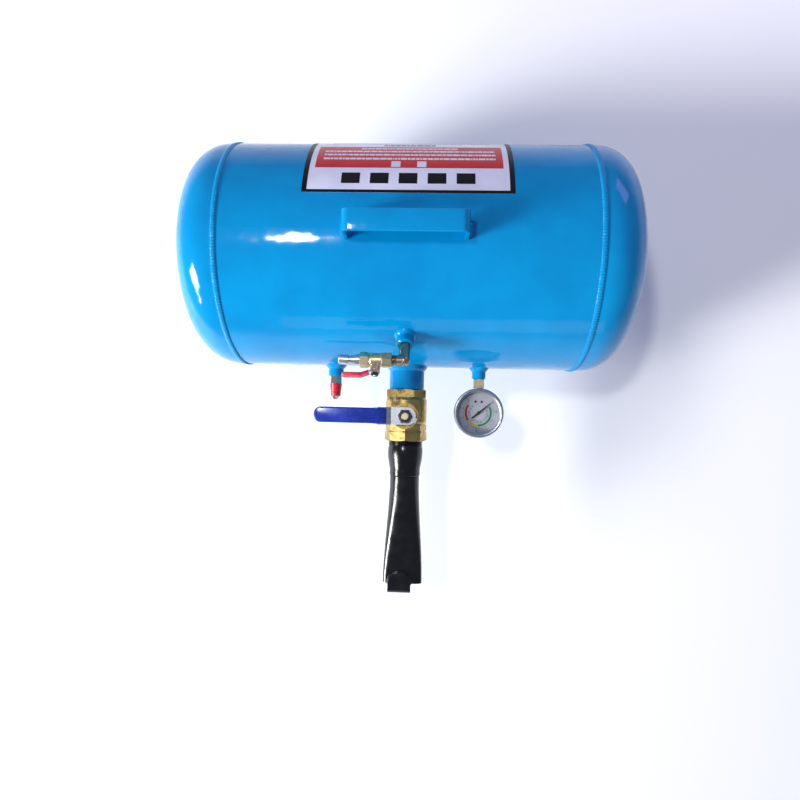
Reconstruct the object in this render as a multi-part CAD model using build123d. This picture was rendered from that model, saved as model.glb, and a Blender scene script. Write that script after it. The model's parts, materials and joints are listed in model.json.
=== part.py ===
from build123d import *
import os
from dataclasses import dataclass
from math import atan, cos, degrees, hypot, pi, radians, sin, sqrt, tan

# A portable air receiver tank that seats tyre beads: a welded vessel with a carrying handle and
# two strap feet, a gauge, a safety valve and a filling valve, and a quarter-turn outlet valve
# with a flattened nozzle. Millimetres. While the pieces are modelled, X runs along the tank's
# axis, -Y points along the outlet and +Z is up, with the origin on the axis at mid length. The
# last step stands the object on Z = 0, centred front to back.

# ------------------------------------------------------------------ vessel
TANK_RADIUS = 150.0
TANK_WALL = 3.0
JOINT_HALF_SPAN = 227.0       # mid length to each joint between shell and head
HEAD_STRAIGHT = 10.0          # straight flange of a pressed head
HEAD_CROWN = 1.8 * TANK_RADIUS     # outside radius of the dish
HEAD_KNUCKLE = 0.34 * TANK_RADIUS  # outside radius between dish and flange
LIP_LENGTH = 14.0             # joggled lip of the head, inside the shell
LIP_CLEARANCE = 0.1
LIP_RAMP = 4.0
BEAD_WIDTH = 7.8
BEAD_HEIGHT = 2.0

# ------------------------------------------------------------------ handle and feet
HANDLE_SPAN = 144.0           # outside of the two legs
HANDLE_RISE = 36.0            # top of the tank to top of the grip
HANDLE_WIDTH = 25.0
STRAP_THICKNESS = 5.0
HANDLE_CORNER = 9.0           # outside radius
WELD_BLOB_RADIUS = 5.0
WELD_BLOB_SHARE = 0.7         # length of a blob as a share of the strap's width
FOOT_OFFSET = 140.0
FOOT_SPAN = 160.0             # outside of the two legs, front to back
FOOT_WIDTH = 40.0
FOOT_HEIGHT = 30.0            # floor to the underside of the tank
FOOT_THICKNESS = 4.0
FOOT_CORNER = 12.0

# ------------------------------------------------------------------ label
LABEL_WIDTH = 250.0
LABEL_LENGTH = 170.0          # along the curve, from near the handle down the back
LABEL_START = 17.0            # degrees behind the top
LABEL_THICKNESS = 0.2
LABEL_GLUE = 0.02

# ------------------------------------------------------------------ threads
SMALL_THREAD = 6.5            # crest radius of a quarter-inch pipe thread
SMALL_PITCH = 1.34
SMALL_THREAD_LENGTH = 12.0    # screwed into a boss
LARGE_THREAD = 23.9           # crest radius of an inch-and-a-half pipe thread
LARGE_PITCH = 2.31
THREAD_CLEARANCE = 0.1
THREAD_DEPTH_SHARE = 0.5      # groove depth as a share of the pitch

# ------------------------------------------------------------------ bosses, from the tank's axis
PORT_SPACING = 100.0
OUTLET_RADIUS = LARGE_THREAD + 0.25
OUTLET_BORE = OUTLET_RADIUS - 3.65
OUTLET_REACH = 32.0           # tank surface to the end of the plain pipe
BOSS_REACH = 15.0
INLET_LEAN = 52.0             # degrees from straight up towards the outlet side
INLET_BOSS_RADIUS = 11.0
SAFETY_BOSS_RADIUS = 10.5
GAUGE_BOSS_RADIUS = 9.5
DRAIN_BOSS_RADIUS = 12.0
DRAIN_REACH = 9.0
BOSS_CLEARANCE = 0.1
BOSS_INSIDE = 2.0             # how far a boss stands inside the vessel
BOSS_CHAMFER = 1.0

# ------------------------------------------------------------------ nozzle
NOZZLE_BELL_RADIUS = LARGE_THREAD + 0.4
NOZZLE_TUBE_RADIUS = 20.3
NOZZLE_RING_RADIUS = NOZZLE_TUBE_RADIUS + 0.9
NOZZLE_WALL = 2.5
NOZZLE_THREAD_SHOWN = 6.5     # thread left outside the valve
NOZZLE_BELL_LENGTH = 33.0
NOZZLE_RING_LENGTH = 10.0
NOZZLE_TUBE_LENGTH = 149.0
NOZZLE_END_HALF_WIDTH = 1.335 * NOZZLE_TUBE_RADIUS
NOZZLE_SQUARENESS = 1.0       # added to a circle's exponent of 2 at the flattened end
NOZZLE_SECTIONS = 8
SECTION_POINTS = 28
HOOK_WIDTH = 32.0
HOOK_THICKNESS = 4.5
HOOK_OFFSET = -4.0            # sideways from the nozzle's axis
HOOK_OVERLAP = 17.0           # how far it lies on the tube
HOOK_PROUD = 13.0             # how far it stands past the mouth
HOOK_RADIUS = 8.0
HOOK_DROP = 7.0
HOOK_SEAT = 0.05

# ------------------------------------------------------------------ filling line
ELBOW_RISE = 25.0             # boss end to the elbow's second axis
ELBOW_RADIUS = SMALL_THREAD + 0.3
ELBOW_BRANCH = 9.0            # corner to the end of the branch's body
ELBOW_THREAD_SHOWN = 6.0
ELBOW_BORE = 4.0
FILL_VALVE_TILT = 25.0        # degrees its stem points above level
PLUG_COLLAR = (SMALL_THREAD + 0.5, 5.0)  # radius, length
PLUG_BODY = (5.2, 7.0)
PLUG_GROOVE = (4.2, 2.0)
PLUG_NOSE = (6.0, 12.0)
PLUG_BORE = 3.0

# ------------------------------------------------------------------ safety valve
SAFETY_HEX = 14.5
SAFETY_HEX_LENGTH = 10.5
SAFETY_SLEEVE_LENGTH = 17.6
SAFETY_SLEEVE_WIDE = 8.5
SAFETY_SLEEVE_NARROW = 6.7
SAFETY_BARREL = 6.0
SAFETY_CHAMBER = 5.0
SAFETY_SEAT_BORE = 3.0
SAFETY_SEAT_DEPTH = 7.0       # hex face to the seat
SAFETY_TIP_LENGTH = 4.9
SAFETY_TIP_NARROW = 2.6
POPPET_RADIUS = 4.4
POPPET_THICKNESS = 2.0
POPPET_STEM = 1.5
SEAL_THICKNESS = 0.8
SPRING_WIRE = 0.4
SPRING_RADIUS = 3.3
SPRING_PITCH = 2.0
ADJUSTER_DEPTH = 4.0

# ------------------------------------------------------------------ gauge
BEZEL_RADIUS = 34.0
GAUGE_REACH = BEZEL_RADIUS + 13.0  # boss end to the gauge's centre
BEZEL_OPENING = BEZEL_RADIUS - 5.2
CASE_RADIUS = BEZEL_RADIUS - 2.0
CASE_WALL = 1.2
CASE_BACK = -12.0
CASE_FRONT = 12.2
WINDOW_THICKNESS = 2.0
BEZEL_LIP = 2.3
SOCKET_FLATS = 14.0
SOCKET_NECK = 6.0
SOCKET_BORE = 2.0
SOCKET_BLOCK = (12.0, 9.0)    # width, length along the socket's axis
SOCKET_BLOCK_GAP = 2.0        # block to the inside of the case
SOCKET_TOP = -0.5
SOCKET_BOTTOM = -10.0
DIAL_RADIUS = CASE_RADIUS - 1.5
DIAL_HEIGHT = 7.0
DIAL_THICKNESS = 0.6
POINTER_TIP = DIAL_RADIUS - 8.1
POINTER_TAIL = 11.0
POINTER_ZERO = 40.0           # degrees from +X towards +Y, pointer at rest
POINTER_HEIGHT = 9.2
POINTER_THICKNESS = 0.6
POINTER_HUB = 2.2
ARBOR_RADIUS = 0.8
ARBOR_TOP = 10.1
RUNNING_CLEARANCE = 0.05
PINION_TEETH = 12
SECTOR_TEETH = 84
SECTOR_SWING = 270.0 * PINION_TEETH / SECTOR_TEETH
SECTOR_MARGIN = 6.0
SECTOR_SEAT = 4.2             # start of the socket's block to the sector's pivot
GEAR_THINNING = 0.08
PLATE_THICKNESS = 1.0
GEAR_THICKNESS = 1.4
GEAR_GAP = 0.5
MOVEMENT_WIDTH = 17.0
PILLAR_RADIUS = 1.5
TUBE_RADIUS = CASE_RADIUS - 10.0
TUBE_WIDTH = 3.0
TUBE_HEIGHT = 7.0
TUBE_SWEEP = 250.0
DIAL_SCREW_PLACE = (4.2, 15.5)
DIAL_SCREW_RADIUS = 0.9
DIAL_SCREW_HEAD = 1.5


# ------------------------------------------------------------------ shared shapes
def turned(profile, plane=Plane.XY):
    """Solid turned about a plane's normal, from (radius, height) pairs."""
    outline = Plane.XZ * make_face(Polyline(*profile, close=True))
    return plane * revolve(outline, Axis.Z)


def tube(outer, inner, start, end):
    """Plain ring about Z."""
    return turned([(inner, start), (outer, start), (outer, end), (inner, end)])


def rod(radius, start, end):
    """Plain round bar about Z."""
    return turned([(0, start), (radius, start), (radius, end), (0, end)])


def flatted_bar(across_flats, start, end, sides=6, turn=0.0):
    """Bar with wrench flats about Z, its corners turned down at both ends."""
    flat = across_flats / 2
    corner = flat / cos(pi / sides)
    slope = (corner - flat) * 0.6
    bar = extrude(RegularPolygon(flat, sides, major_radius=False, rotation=turn), end - start)
    envelope = turned([
        (0, start), (flat, start), (corner, start + slope),
        (corner, end - slope), (flat, end), (0, end),
    ])
    return (Pos(0, 0, start) * bar) & envelope


def thread_profile(crest, pitch, start, end):
    """Outline points of a male thread's ridges, from start up to end."""
    root = crest - pitch * THREAD_DEPTH_SHARE
    ridges = int((end - start) / pitch)
    points = [(root, start)]
    for ridge in range(ridges):
        low = start + ridge * pitch
        points += [(root, low + 0.1 * pitch), (crest, low + 0.45 * pitch)]
        points += [(crest, low + 0.55 * pitch), (root, low + 0.9 * pitch)]
    return points + [(root, end)]


def mitred(path, offset):
    """A bent line moved sideways by offset, with mitred corners."""
    moved = []
    for index, (x, y) in enumerate(path):
        legs = []
        if index > 0:
            legs.append((x - path[index - 1][0], y - path[index - 1][1]))
        if index < len(path) - 1:
            legs.append((path[index + 1][0] - x, path[index + 1][1] - y))
        normals = [(-v / hypot(u, v), u / hypot(u, v)) for u, v in legs]
        nx = sum(normal[0] for normal in normals) / len(normals)
        ny = sum(normal[1] for normal in normals) / len(normals)
        scale = offset / (nx * nx + ny * ny)
        moved.append((x + nx * scale, y + ny * scale))
    return moved


def bent_strip(path, low, high, half_width):
    """Strip that follows a bent line in XZ, between two offsets of it, centred on Y."""
    outline = mitred(path, low) + mitred(path, high)[::-1]
    side = Plane.XZ * make_face(Polyline(*outline, close=True))
    return extrude(side, half_width, both=True)


def port_plane(offset, lean):
    """Plane on the tank's axis with its normal leaning from straight up towards the outlet."""
    tilt = radians(lean)
    return Plane(origin=(offset, 0, 0), x_dir=(1, 0, 0), z_dir=(0, -sin(tilt), cos(tilt)))


ALONG_TANK = Plane(origin=(0, 0, 0), x_dir=(0, 0, 1), z_dir=(1, 0, 0))
OUTLET_PLANE = port_plane(0.0, 90.0)
INLET_PLANE = port_plane(0.0, INLET_LEAN)
SAFETY_PLANE = port_plane(-PORT_SPACING, 90.0)
GAUGE_PLANE = port_plane(PORT_SPACING, 90.0)
DRAIN_PLANE = port_plane(0.0, 180.0)


# ------------------------------------------------------------------ vessel pieces
@dataclass(frozen=True)
class Boss:
    """A threaded boss that is welded into the vessel; its end is measured from the tank's axis."""

    plane: Plane
    radius: float
    bore: float
    end: float
    weld: float


SMALL_BORE = SMALL_THREAD + THREAD_CLEARANCE
BOSS_END = TANK_RADIUS + BOSS_REACH
OUTLET_END = TANK_RADIUS + OUTLET_REACH
BOSSES = {
    "outlet_pipe": Boss(OUTLET_PLANE, OUTLET_RADIUS, OUTLET_BORE, OUTLET_END, 6.0),
    "inlet_boss": Boss(INLET_PLANE, INLET_BOSS_RADIUS, SMALL_BORE, BOSS_END, 4.0),
    "safety_boss": Boss(SAFETY_PLANE, SAFETY_BOSS_RADIUS, SMALL_BORE, BOSS_END, 5.0),
    "gauge_boss": Boss(GAUGE_PLANE, GAUGE_BOSS_RADIUS, SMALL_BORE, BOSS_END, 5.0),
    "drain_boss": Boss(DRAIN_PLANE, DRAIN_BOSS_RADIUS, SMALL_BORE, TANK_RADIUS + DRAIN_REACH, 3.0),
}
TANK_SOLID = ALONG_TANK * rod(TANK_RADIUS, -JOINT_HALF_SPAN, JOINT_HALF_SPAN)


def make_shell():
    """Rolled shell, open at both ends, with a hole for each boss."""
    shell = ALONG_TANK * tube(
        TANK_RADIUS, TANK_RADIUS - TANK_WALL, -JOINT_HALF_SPAN, JOINT_HALF_SPAN
    )
    for boss in BOSSES.values():
        shell -= boss.plane * rod(boss.radius + BOSS_CLEARANCE, 0, TANK_RADIUS + BOSS_REACH)
    return shell


def dish_line(start, inset):
    """Knuckle arc and crown arc of the dish, moved in from its outside by inset."""
    knuckle_centre = Vector(TANK_RADIUS - HEAD_KNUCKLE, start)
    drop = sqrt((HEAD_CROWN - HEAD_KNUCKLE) ** 2 - knuckle_centre.X ** 2)
    crown_centre = Vector(0, start - drop)
    lean = degrees(atan(drop / knuckle_centre.X))
    return [
        CenterArc(knuckle_centre, HEAD_KNUCKLE - inset, 0, lean),
        CenterArc(crown_centre, HEAD_CROWN - inset, lean, 90 - lean),
    ]


def make_head(side):
    """Pressed dished head with a joggled lip inside the shell; side is -1 or 1."""
    straight_end = JOINT_HALF_SPAN + HEAD_STRAIGHT
    inner_radius = TANK_RADIUS - TANK_WALL
    lip_outer = inner_radius - LIP_CLEARANCE
    lip_inner = lip_outer - TANK_WALL
    lip_end = JOINT_HALF_SPAN - LIP_LENGTH
    outside = dish_line(straight_end, 0.0)
    inside = dish_line(straight_end, TANK_WALL)
    flange = Polyline(
        (TANK_RADIUS, straight_end), (TANK_RADIUS, JOINT_HALF_SPAN), (lip_outer, JOINT_HALF_SPAN),
        (lip_outer, lip_end), (lip_inner, lip_end), (lip_inner, JOINT_HALF_SPAN),
        (inner_radius, JOINT_HALF_SPAN + LIP_RAMP), (inner_radius, straight_end),
    )
    crown = Line(inside[-1] @ 1, outside[-1] @ 1)
    section = Plane.XZ * make_face(outside + inside + [flange, crown])
    head = ALONG_TANK * revolve(section, Axis.Z)
    return head if side > 0 else mirror(head, Plane.YZ)


def make_bead(side):
    """Weld bead around the joint between shell and head."""
    half = BEAD_WIDTH / 2
    crown = ThreePointArc(
        (TANK_RADIUS, -half), (TANK_RADIUS + BEAD_HEIGHT, 0), (TANK_RADIUS, half)
    )
    section = Plane.XZ * make_face([crown, Line(crown @ 1, crown @ 0)])
    return Pos(side * JOINT_HALF_SPAN, 0, 0) * (ALONG_TANK * revolve(section, Axis.Z))


def make_boss(boss, threaded_end=0.0):
    """Tubular boss through the shell, with an optional male thread past its end."""
    start = TANK_RADIUS - TANK_WALL - BOSS_INSIDE
    profile = [(boss.bore, start), (boss.radius, start), (boss.radius, boss.end - BOSS_CHAMFER)]
    if threaded_end:
        profile.append((boss.radius - BOSS_CHAMFER / 2, boss.end))
        profile += thread_profile(LARGE_THREAD, LARGE_PITCH, boss.end, boss.end + threaded_end)
        profile.append((LARGE_THREAD - LARGE_PITCH, boss.end + threaded_end))
        profile.append((boss.bore, boss.end + threaded_end))
    else:
        profile += [(boss.radius - BOSS_CHAMFER, boss.end), (boss.bore, boss.end)]
    return turned(profile, boss.plane)


def make_boss_weld(boss):
    """Fillet weld between a boss and the shell."""
    reach = boss.radius + boss.weld
    fall = TANK_RADIUS - sqrt(TANK_RADIUS ** 2 - reach ** 2)
    ring = turned([
        (boss.radius, TANK_RADIUS - TANK_WALL), (boss.radius, TANK_RADIUS + boss.weld),
        (boss.radius + boss.weld * 0.45, TANK_RADIUS + boss.weld * 0.5),
        (reach, TANK_RADIUS - fall), (reach, TANK_RADIUS - TANK_WALL - fall),
    ], boss.plane)
    return ring - TANK_SOLID


def make_strap(half_span, top, bottom, thickness, corner, width):
    """Upside-down U of flat bar in XZ, its legs down to bottom, centred on Y."""
    height = top - bottom
    outside = Pos(0, top - height) * Rectangle(2 * half_span, 2 * height)
    inside = Pos(0, top - height) * Rectangle(
        2 * (half_span - thickness), 2 * (height - thickness)
    )
    outside = fillet(outside.vertices(), corner)
    inside = fillet(inside.vertices(), corner - thickness)
    lower_half = Pos(0, bottom - height) * Rectangle(2 * half_span, 2 * height)
    return extrude(Plane.XZ * (outside - inside - lower_half), width / 2, both=True)


def make_handle():
    """Flat-bar carrying handle, its legs shaped to the shell."""
    handle = make_strap(
        HANDLE_SPAN / 2, TANK_RADIUS + HANDLE_RISE, TANK_RADIUS - STRAP_THICKNESS,
        STRAP_THICKNESS, HANDLE_CORNER, HANDLE_WIDTH,
    )
    return handle - TANK_SOLID


def make_foot(side):
    """Flat-bar foot: a pad on the floor and two legs shaped to the shell."""
    half_span = FOOT_SPAN / 2
    leg_top = sqrt(TANK_RADIUS ** 2 - half_span ** 2) - FOOT_THICKNESS
    arch = make_strap(
        half_span, TANK_RADIUS + FOOT_HEIGHT, leg_top, FOOT_THICKNESS, FOOT_CORNER, FOOT_WIDTH
    )
    return Pos(side * FOOT_OFFSET, 0, 0) * (Rot(180, 0, 90) * arch) - TANK_SOLID


def make_blob(width):
    """Short weld blob along Y, its flat side on YZ and its round side towards +X."""
    end = width * WELD_BLOB_SHARE / 2
    side = end - WELD_BLOB_RADIUS
    turn = WELD_BLOB_RADIUS * sqrt(0.5)
    outline = [
        ThreePointArc((0, -end), (turn, -side - turn), (WELD_BLOB_RADIUS, -side)),
        Line((WELD_BLOB_RADIUS, -side), (WELD_BLOB_RADIUS, side)),
        ThreePointArc((WELD_BLOB_RADIUS, side), (turn, side + turn), (0, end)),
        Line((0, end), (0, -end)),
    ]
    return Rot(0, -90, 0) * revolve(make_face(outline), Axis.Y, 180)


def make_handle_welds():
    """One weld blob on the outer face of each handle leg."""
    height = sqrt(TANK_RADIUS ** 2 - (HANDLE_WIDTH / 2) ** 2)
    blobs = []
    for turn in (0, 180):
        place = Rot(0, 0, turn) * Pos(HANDLE_SPAN / 2, 0, height)
        blobs.append(place * make_blob(HANDLE_WIDTH) - TANK_SOLID)
    return Part() + blobs


def make_foot_welds():
    """One weld blob on the outer face of each foot leg."""
    half_span = FOOT_SPAN / 2
    height = -sqrt(TANK_RADIUS ** 2 - half_span ** 2)
    blobs = []
    for offset in (-FOOT_OFFSET, FOOT_OFFSET):
        for turn in (90, -90):
            place = Pos(offset, 0, height) * Rot(0, 0, turn) * Pos(half_span, 0, 0)
            blobs.append(place * make_blob(FOOT_WIDTH) - TANK_SOLID)
    return Part() + blobs


def make_label():
    """Printed sheet that wraps the shell behind the handle."""
    inner = TANK_RADIUS + LABEL_GLUE
    span = degrees(LABEL_LENGTH / TANK_RADIUS)
    section = Plane.XZ * Pos(0, inner + LABEL_THICKNESS / 2) * Rectangle(
        LABEL_WIDTH, LABEL_THICKNESS
    )
    return Rot(-(LABEL_START + span), 0, 0) * revolve(section, Axis.X, span)


DRAIN_PLUG_FLATS = 17.0
DRAIN_PLUG_HEAD = 7.0


def make_drain_plug():
    """Hex-head plug in the drain boss."""
    end = TANK_RADIUS + DRAIN_REACH
    start = end - SMALL_THREAD_LENGTH
    head = flatted_bar(DRAIN_PLUG_FLATS, end, end + DRAIN_PLUG_HEAD)
    thread = turned(
        [(0, start)] + thread_profile(SMALL_THREAD, SMALL_PITCH, start, end) + [(0, end)]
    )
    return DRAIN_PLANE * (head + thread)


# ------------------------------------------------------------------ quarter-turn valves
BALL_CLEARANCE = 0.3
CAP_CLEARANCE = 0.2           # cap's spigot in the body, from the cavity's radius
CAP_LAND = 2.7                # back of the outlet seat to the cap's shoulder
SEAT_SHARE = 0.7              # seat's outside, from the bore towards the ball's radius
STEM_GAP = 0.4                # ball to the stem's collar
THREAD_SHARE = 0.83           # shares of the stem's radius
COLLAR_SHARE = 1.34
PACKING_SHARE = 1.5
STOP_PIN_RADIUS = 1.8
STOP_PIN_HEIGHT = 4.0
STOP_GAP = 0.3
STOP_TAB_WIDTH = 7.0
STOP_TAB_DROP = 6.0
STOP_TAB_OFFSET = 6.0         # sideways from the lever's centre line


@dataclass(frozen=True)
class BallValve:
    """Sizes of a two-piece ball valve with a strip lever.

    The flow frame has its origin on the inlet face, Z along the flow and X along the stem.
    Heights are measured from the ball's centre along the stem. The lever lies along the
    hub frame's X axis at rest.
    """

    flow: Plane
    lever_direction: tuple
    sides: int
    body_turn: float
    cap_turn: float
    body_bar: float
    body_wall: float
    neck_length: float
    neck_wall: float
    cap_length: float
    socket_radius: float
    socket_wall: float
    inlet_depth: float
    inlet_web: float
    outlet_depth: float
    ball_radius: float
    bore_radius: float
    seat_thickness: float
    seat_backing: float
    stem_radius: float
    collar_thickness: float
    packing_shelf: float
    packing_length: float
    boss_radius: float
    pad_radius: float
    pad_thickness: float
    gland_reach: float
    gland_flats: float
    gland_height: float
    plate_thickness: float
    plate_half_width: float
    hub_end: float
    jog_start: float
    jog_end: float
    jog_rise: float
    tip: float
    grip_half_width: float
    sleeve_start: float
    sleeve_wall: float
    nut_flats: float
    nut_height: float
    nut_collar: float
    stops: bool

    @property
    def cavity_radius(self):
        """Room for the ball, in the body."""
        return self.ball_radius + BALL_CLEARANCE

    @property
    def barrel_radius(self):
        """Outside of the round part of the body."""
        return max(self.cavity_radius, self.socket_radius) + self.body_wall

    @property
    def across_flats(self):
        """Wrench size at both ends."""
        return 2 * (self.socket_radius + self.socket_wall)

    @property
    def neck_flats(self):
        """Wrench size of the neck between body and cap."""
        return 2 * (self.cavity_radius + CAP_CLEARANCE + self.neck_wall)

    @property
    def seat_radius(self):
        """Outside of the seat rings."""
        return self.bore_radius + SEAT_SHARE * (self.ball_radius - self.bore_radius)

    @property
    def seat_back(self):
        """Ball's centre to the far face of a seat."""
        return sqrt(self.ball_radius ** 2 - self.bore_radius ** 2) + self.seat_backing

    @property
    def seat_near(self):
        """Ball's centre to the near face of a seat."""
        return self.seat_back - self.seat_thickness

    @property
    def stem_place(self):
        """Inlet face to the stem's axis."""
        return self.inlet_depth + self.inlet_web + self.seat_back

    @property
    def cap_start(self):
        """Inlet face to the shoulder of the cap."""
        return self.stem_place + self.seat_back + CAP_LAND

    @property
    def neck_start(self):
        """Inlet face to the start of the neck."""
        return self.cap_start - self.neck_length

    @property
    def length(self):
        """Inlet face to outlet face."""
        return self.cap_start + self.cap_length

    @property
    def stem_thread(self):
        """Radius of the stem above the lever."""
        return THREAD_SHARE * self.stem_radius

    @property
    def collar_radius(self):
        """Radius of the stem's inside collar."""
        return COLLAR_SHARE * self.stem_radius

    @property
    def packing_radius(self):
        """Radius of the packing's room."""
        return PACKING_SHARE * self.stem_radius

    @property
    def collar_height(self):
        """Top of the stem's collar."""
        return self.ball_radius + STEM_GAP + self.collar_thickness

    @property
    def packing_floor(self):
        """Underside of the packing."""
        return self.collar_height + self.packing_shelf

    @property
    def packing_top(self):
        """Top of the packing."""
        return self.packing_floor + self.packing_length

    @property
    def boss_top(self):
        """Top of the body's stem boss."""
        return self.packing_top + self.gland_reach

    @property
    def hub(self):
        """Frame at the ball's centre: Z along the stem, X along the lever."""
        centre = self.flow.origin + self.flow.z_dir * self.stem_place
        return Plane(origin=centre, x_dir=self.lever_direction, z_dir=self.flow.x_dir)

    @property
    def plate_height(self):
        """Underside of the lever plate."""
        return self.boss_top + self.gland_height + 0.3

    @property
    def plate_top(self):
        """Top of the lever plate, under the nut."""
        return self.plate_height + self.plate_thickness

    @property
    def stem_flat(self):
        """Half the distance between the stem's two flats."""
        return self.stem_radius * 0.68

    @property
    def lever_path(self):
        """Bent centre line of the lever plate in the hub frame's XZ plane."""
        height = self.plate_height + self.plate_thickness / 2
        return [
            (-self.hub_end, height), (self.jog_start, height),
            (self.jog_end, height + self.jog_rise), (self.tip, height + self.jog_rise),
        ]


def make_valve_body(valve):
    """Body with its inlet socket, ball cavity and stem boss."""
    shoulder = valve.barrel_radius * 0.06
    centre = valve.stem_place
    barrel = turned([
        (0, valve.body_bar), (valve.barrel_radius - shoulder, valve.body_bar),
        (valve.barrel_radius, valve.body_bar + 2 * shoulder),
        (valve.barrel_radius, valve.neck_start - 2 * shoulder),
        (valve.barrel_radius - shoulder, valve.neck_start), (0, valve.neck_start),
    ])
    body = flatted_bar(valve.across_flats, 0, valve.body_bar, valve.sides, valve.body_turn)
    body += barrel
    body += flatted_bar(
        valve.neck_flats, valve.neck_start, valve.cap_start, valve.sides, valve.cap_turn
    )
    counterbore = valve.cavity_radius + CAP_CLEARANCE
    stem_axis = Pos(0, 0, centre) * Rot(0, 90, 0)
    body += stem_axis * rod(valve.boss_radius, 0, valve.boss_top)
    pad_floor = valve.boss_top - valve.pad_thickness
    body += stem_axis * rod(valve.pad_radius, pad_floor, valve.boss_top)
    body -= turned([
        (0, -1), (valve.socket_radius, -1), (valve.socket_radius, valve.inlet_depth),
        (valve.bore_radius, valve.inlet_depth), (valve.bore_radius, centre - valve.seat_back),
        (valve.seat_radius + 0.1, centre - valve.seat_back),
        (valve.seat_radius + 0.1, centre - valve.seat_near),
        (valve.cavity_radius, centre - valve.seat_near),
        (valve.cavity_radius, centre + valve.seat_near),
        (counterbore, centre + valve.seat_near),
        (counterbore, valve.cap_start), (0, valve.cap_start),
    ])
    body -= stem_axis * turned([
        (0, 0), (valve.collar_radius + 0.2, 0),
        (valve.collar_radius + 0.2, valve.collar_height + 0.1),
        (valve.stem_radius + RUNNING_CLEARANCE, valve.collar_height + 0.1),
        (valve.stem_radius + RUNNING_CLEARANCE, valve.packing_floor),
        (valve.packing_radius, valve.packing_floor), (valve.packing_radius, valve.boss_top),
        (0, valve.boss_top),
    ])
    if valve.stops:
        for turn in stop_pin_turns(valve):
            pin = rod(STOP_PIN_RADIUS, pad_floor, valve.boss_top + STOP_PIN_HEIGHT)
            place = Rot(0, 0, turn) * Pos(stop_radius(valve), 0, 0)
            body += valve.flow.location.inverse() * (valve.hub * (place * pin))
    return valve.flow * body


def stop_radius(valve):
    """Distance of the lever's stop tab and the body's stop pins from the stem's axis."""
    return valve.hub_end + valve.plate_thickness / 2 - 0.8


def stop_tab_turn(valve):
    """Angle of the stop tab's middle in the hub frame at rest, in degrees."""
    side = STOP_TAB_OFFSET / stop_radius(valve)
    return 180.0 - degrees(side)


def stop_pin_turns(valve):
    """Angles of the two stop pins, just past the tab's travel of a quarter turn."""
    half_tab = degrees((STOP_TAB_WIDTH / 2 + STOP_PIN_RADIUS + STOP_GAP) / stop_radius(valve))
    closed = stop_tab_turn(valve)
    return closed - half_tab, closed + 90.0 + half_tab


def make_valve_cap(valve):
    """Screwed end cap that holds the outlet seat and has the outlet socket."""
    centre = valve.stem_place
    cap = flatted_bar(
        valve.across_flats, valve.cap_start, valve.length, valve.sides, valve.cap_turn
    )
    spigot = valve.cavity_radius + CAP_CLEARANCE / 2
    cap += rod(spigot, centre + valve.seat_near, valve.cap_start)
    cap -= turned([
        (0, centre), (valve.seat_radius + 0.1, centre),
        (valve.seat_radius + 0.1, centre + valve.seat_back),
        (valve.bore_radius, centre + valve.seat_back),
        (valve.bore_radius, valve.length - valve.outlet_depth),
        (valve.socket_radius, valve.length - valve.outlet_depth),
        (valve.socket_radius, valve.length + 1), (0, valve.length + 1),
    ])
    return valve.flow * cap


def make_valve_seats(valve):
    """Two plastic seat rings, each hollowed to the ball."""
    ball = Sphere(valve.ball_radius + RUNNING_CLEARANCE)
    inner = valve.bore_radius + 0.3
    rings = []
    for side in (-1, 1):
        low, high = sorted((side * valve.seat_near, side * valve.seat_back))
        rings.append(tube(valve.seat_radius, inner, low, high) - ball)
    return valve.flow * Pos(0, 0, valve.stem_place) * (Part() + rings)


def make_valve_ball(valve):
    """Ball with its bore along the lever and a slot for the stem's tang."""
    tang = valve.stem_radius
    ball = Sphere(valve.ball_radius)
    ball -= Rot(0, 90, 0) * Cylinder(valve.bore_radius, 2 * valve.ball_radius)
    slot_floor = slot_height(valve)
    ball -= Pos(0, 0, slot_floor) * Box(
        tang + 0.2, 2 * valve.ball_radius, valve.ball_radius,
        align=(Align.CENTER, Align.CENTER, Align.MIN),
    )
    return valve.hub * ball


def slot_height(valve):
    """Floor of the ball's slot."""
    return valve.bore_radius + (valve.ball_radius - valve.bore_radius) * 0.4


def make_valve_stem(valve):
    """Stem with a tang, an inside collar, two flats for the lever and a threaded end."""
    tang = valve.stem_radius
    collar_floor = valve.ball_radius + STEM_GAP
    end = valve.plate_top + valve.nut_height + valve.nut_collar
    stem = turned([
        (0, collar_floor), (valve.collar_radius, collar_floor),
        (valve.collar_radius, valve.collar_height), (valve.stem_radius, valve.collar_height),
        (valve.stem_radius, valve.plate_top - 0.2), (valve.stem_thread, valve.plate_top - 0.2),
        (valve.stem_thread, end - 0.6), (valve.stem_thread - 0.6, end), (0, end),
    ])
    for side in (-1, 1):
        flat = Box(4 * valve.stem_radius, valve.stem_radius, valve.plate_thickness + 0.2)
        middle = valve.plate_height + valve.plate_thickness / 2
        stem -= Pos(0, side * (valve.stem_flat + valve.stem_radius / 2), middle) * flat
    tongue_floor = slot_height(valve) + 0.2
    tongue = Box(
        tang, 2 * valve.collar_radius * 0.9, collar_floor - tongue_floor,
        align=(Align.CENTER, Align.CENTER, Align.MIN),
    )
    return valve.hub * (stem + Pos(0, 0, tongue_floor) * tongue)


def make_stem_packing(valve):
    """Packing ring around the stem."""
    inner = valve.stem_radius + RUNNING_CLEARANCE
    return valve.hub * tube(
        valve.packing_radius - 0.05, inner, valve.packing_floor, valve.packing_top
    )


def make_gland(valve):
    """Gland with wrench flats that presses on the packing."""
    inner = valve.stem_radius + RUNNING_CLEARANCE
    gland = flatted_bar(valve.gland_flats, valve.boss_top, valve.boss_top + valve.gland_height)
    gland += rod(valve.packing_radius - 0.05, valve.packing_top, valve.boss_top)
    gland -= rod(inner, valve.packing_top - 1, valve.plate_height)
    return valve.hub * gland


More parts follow.
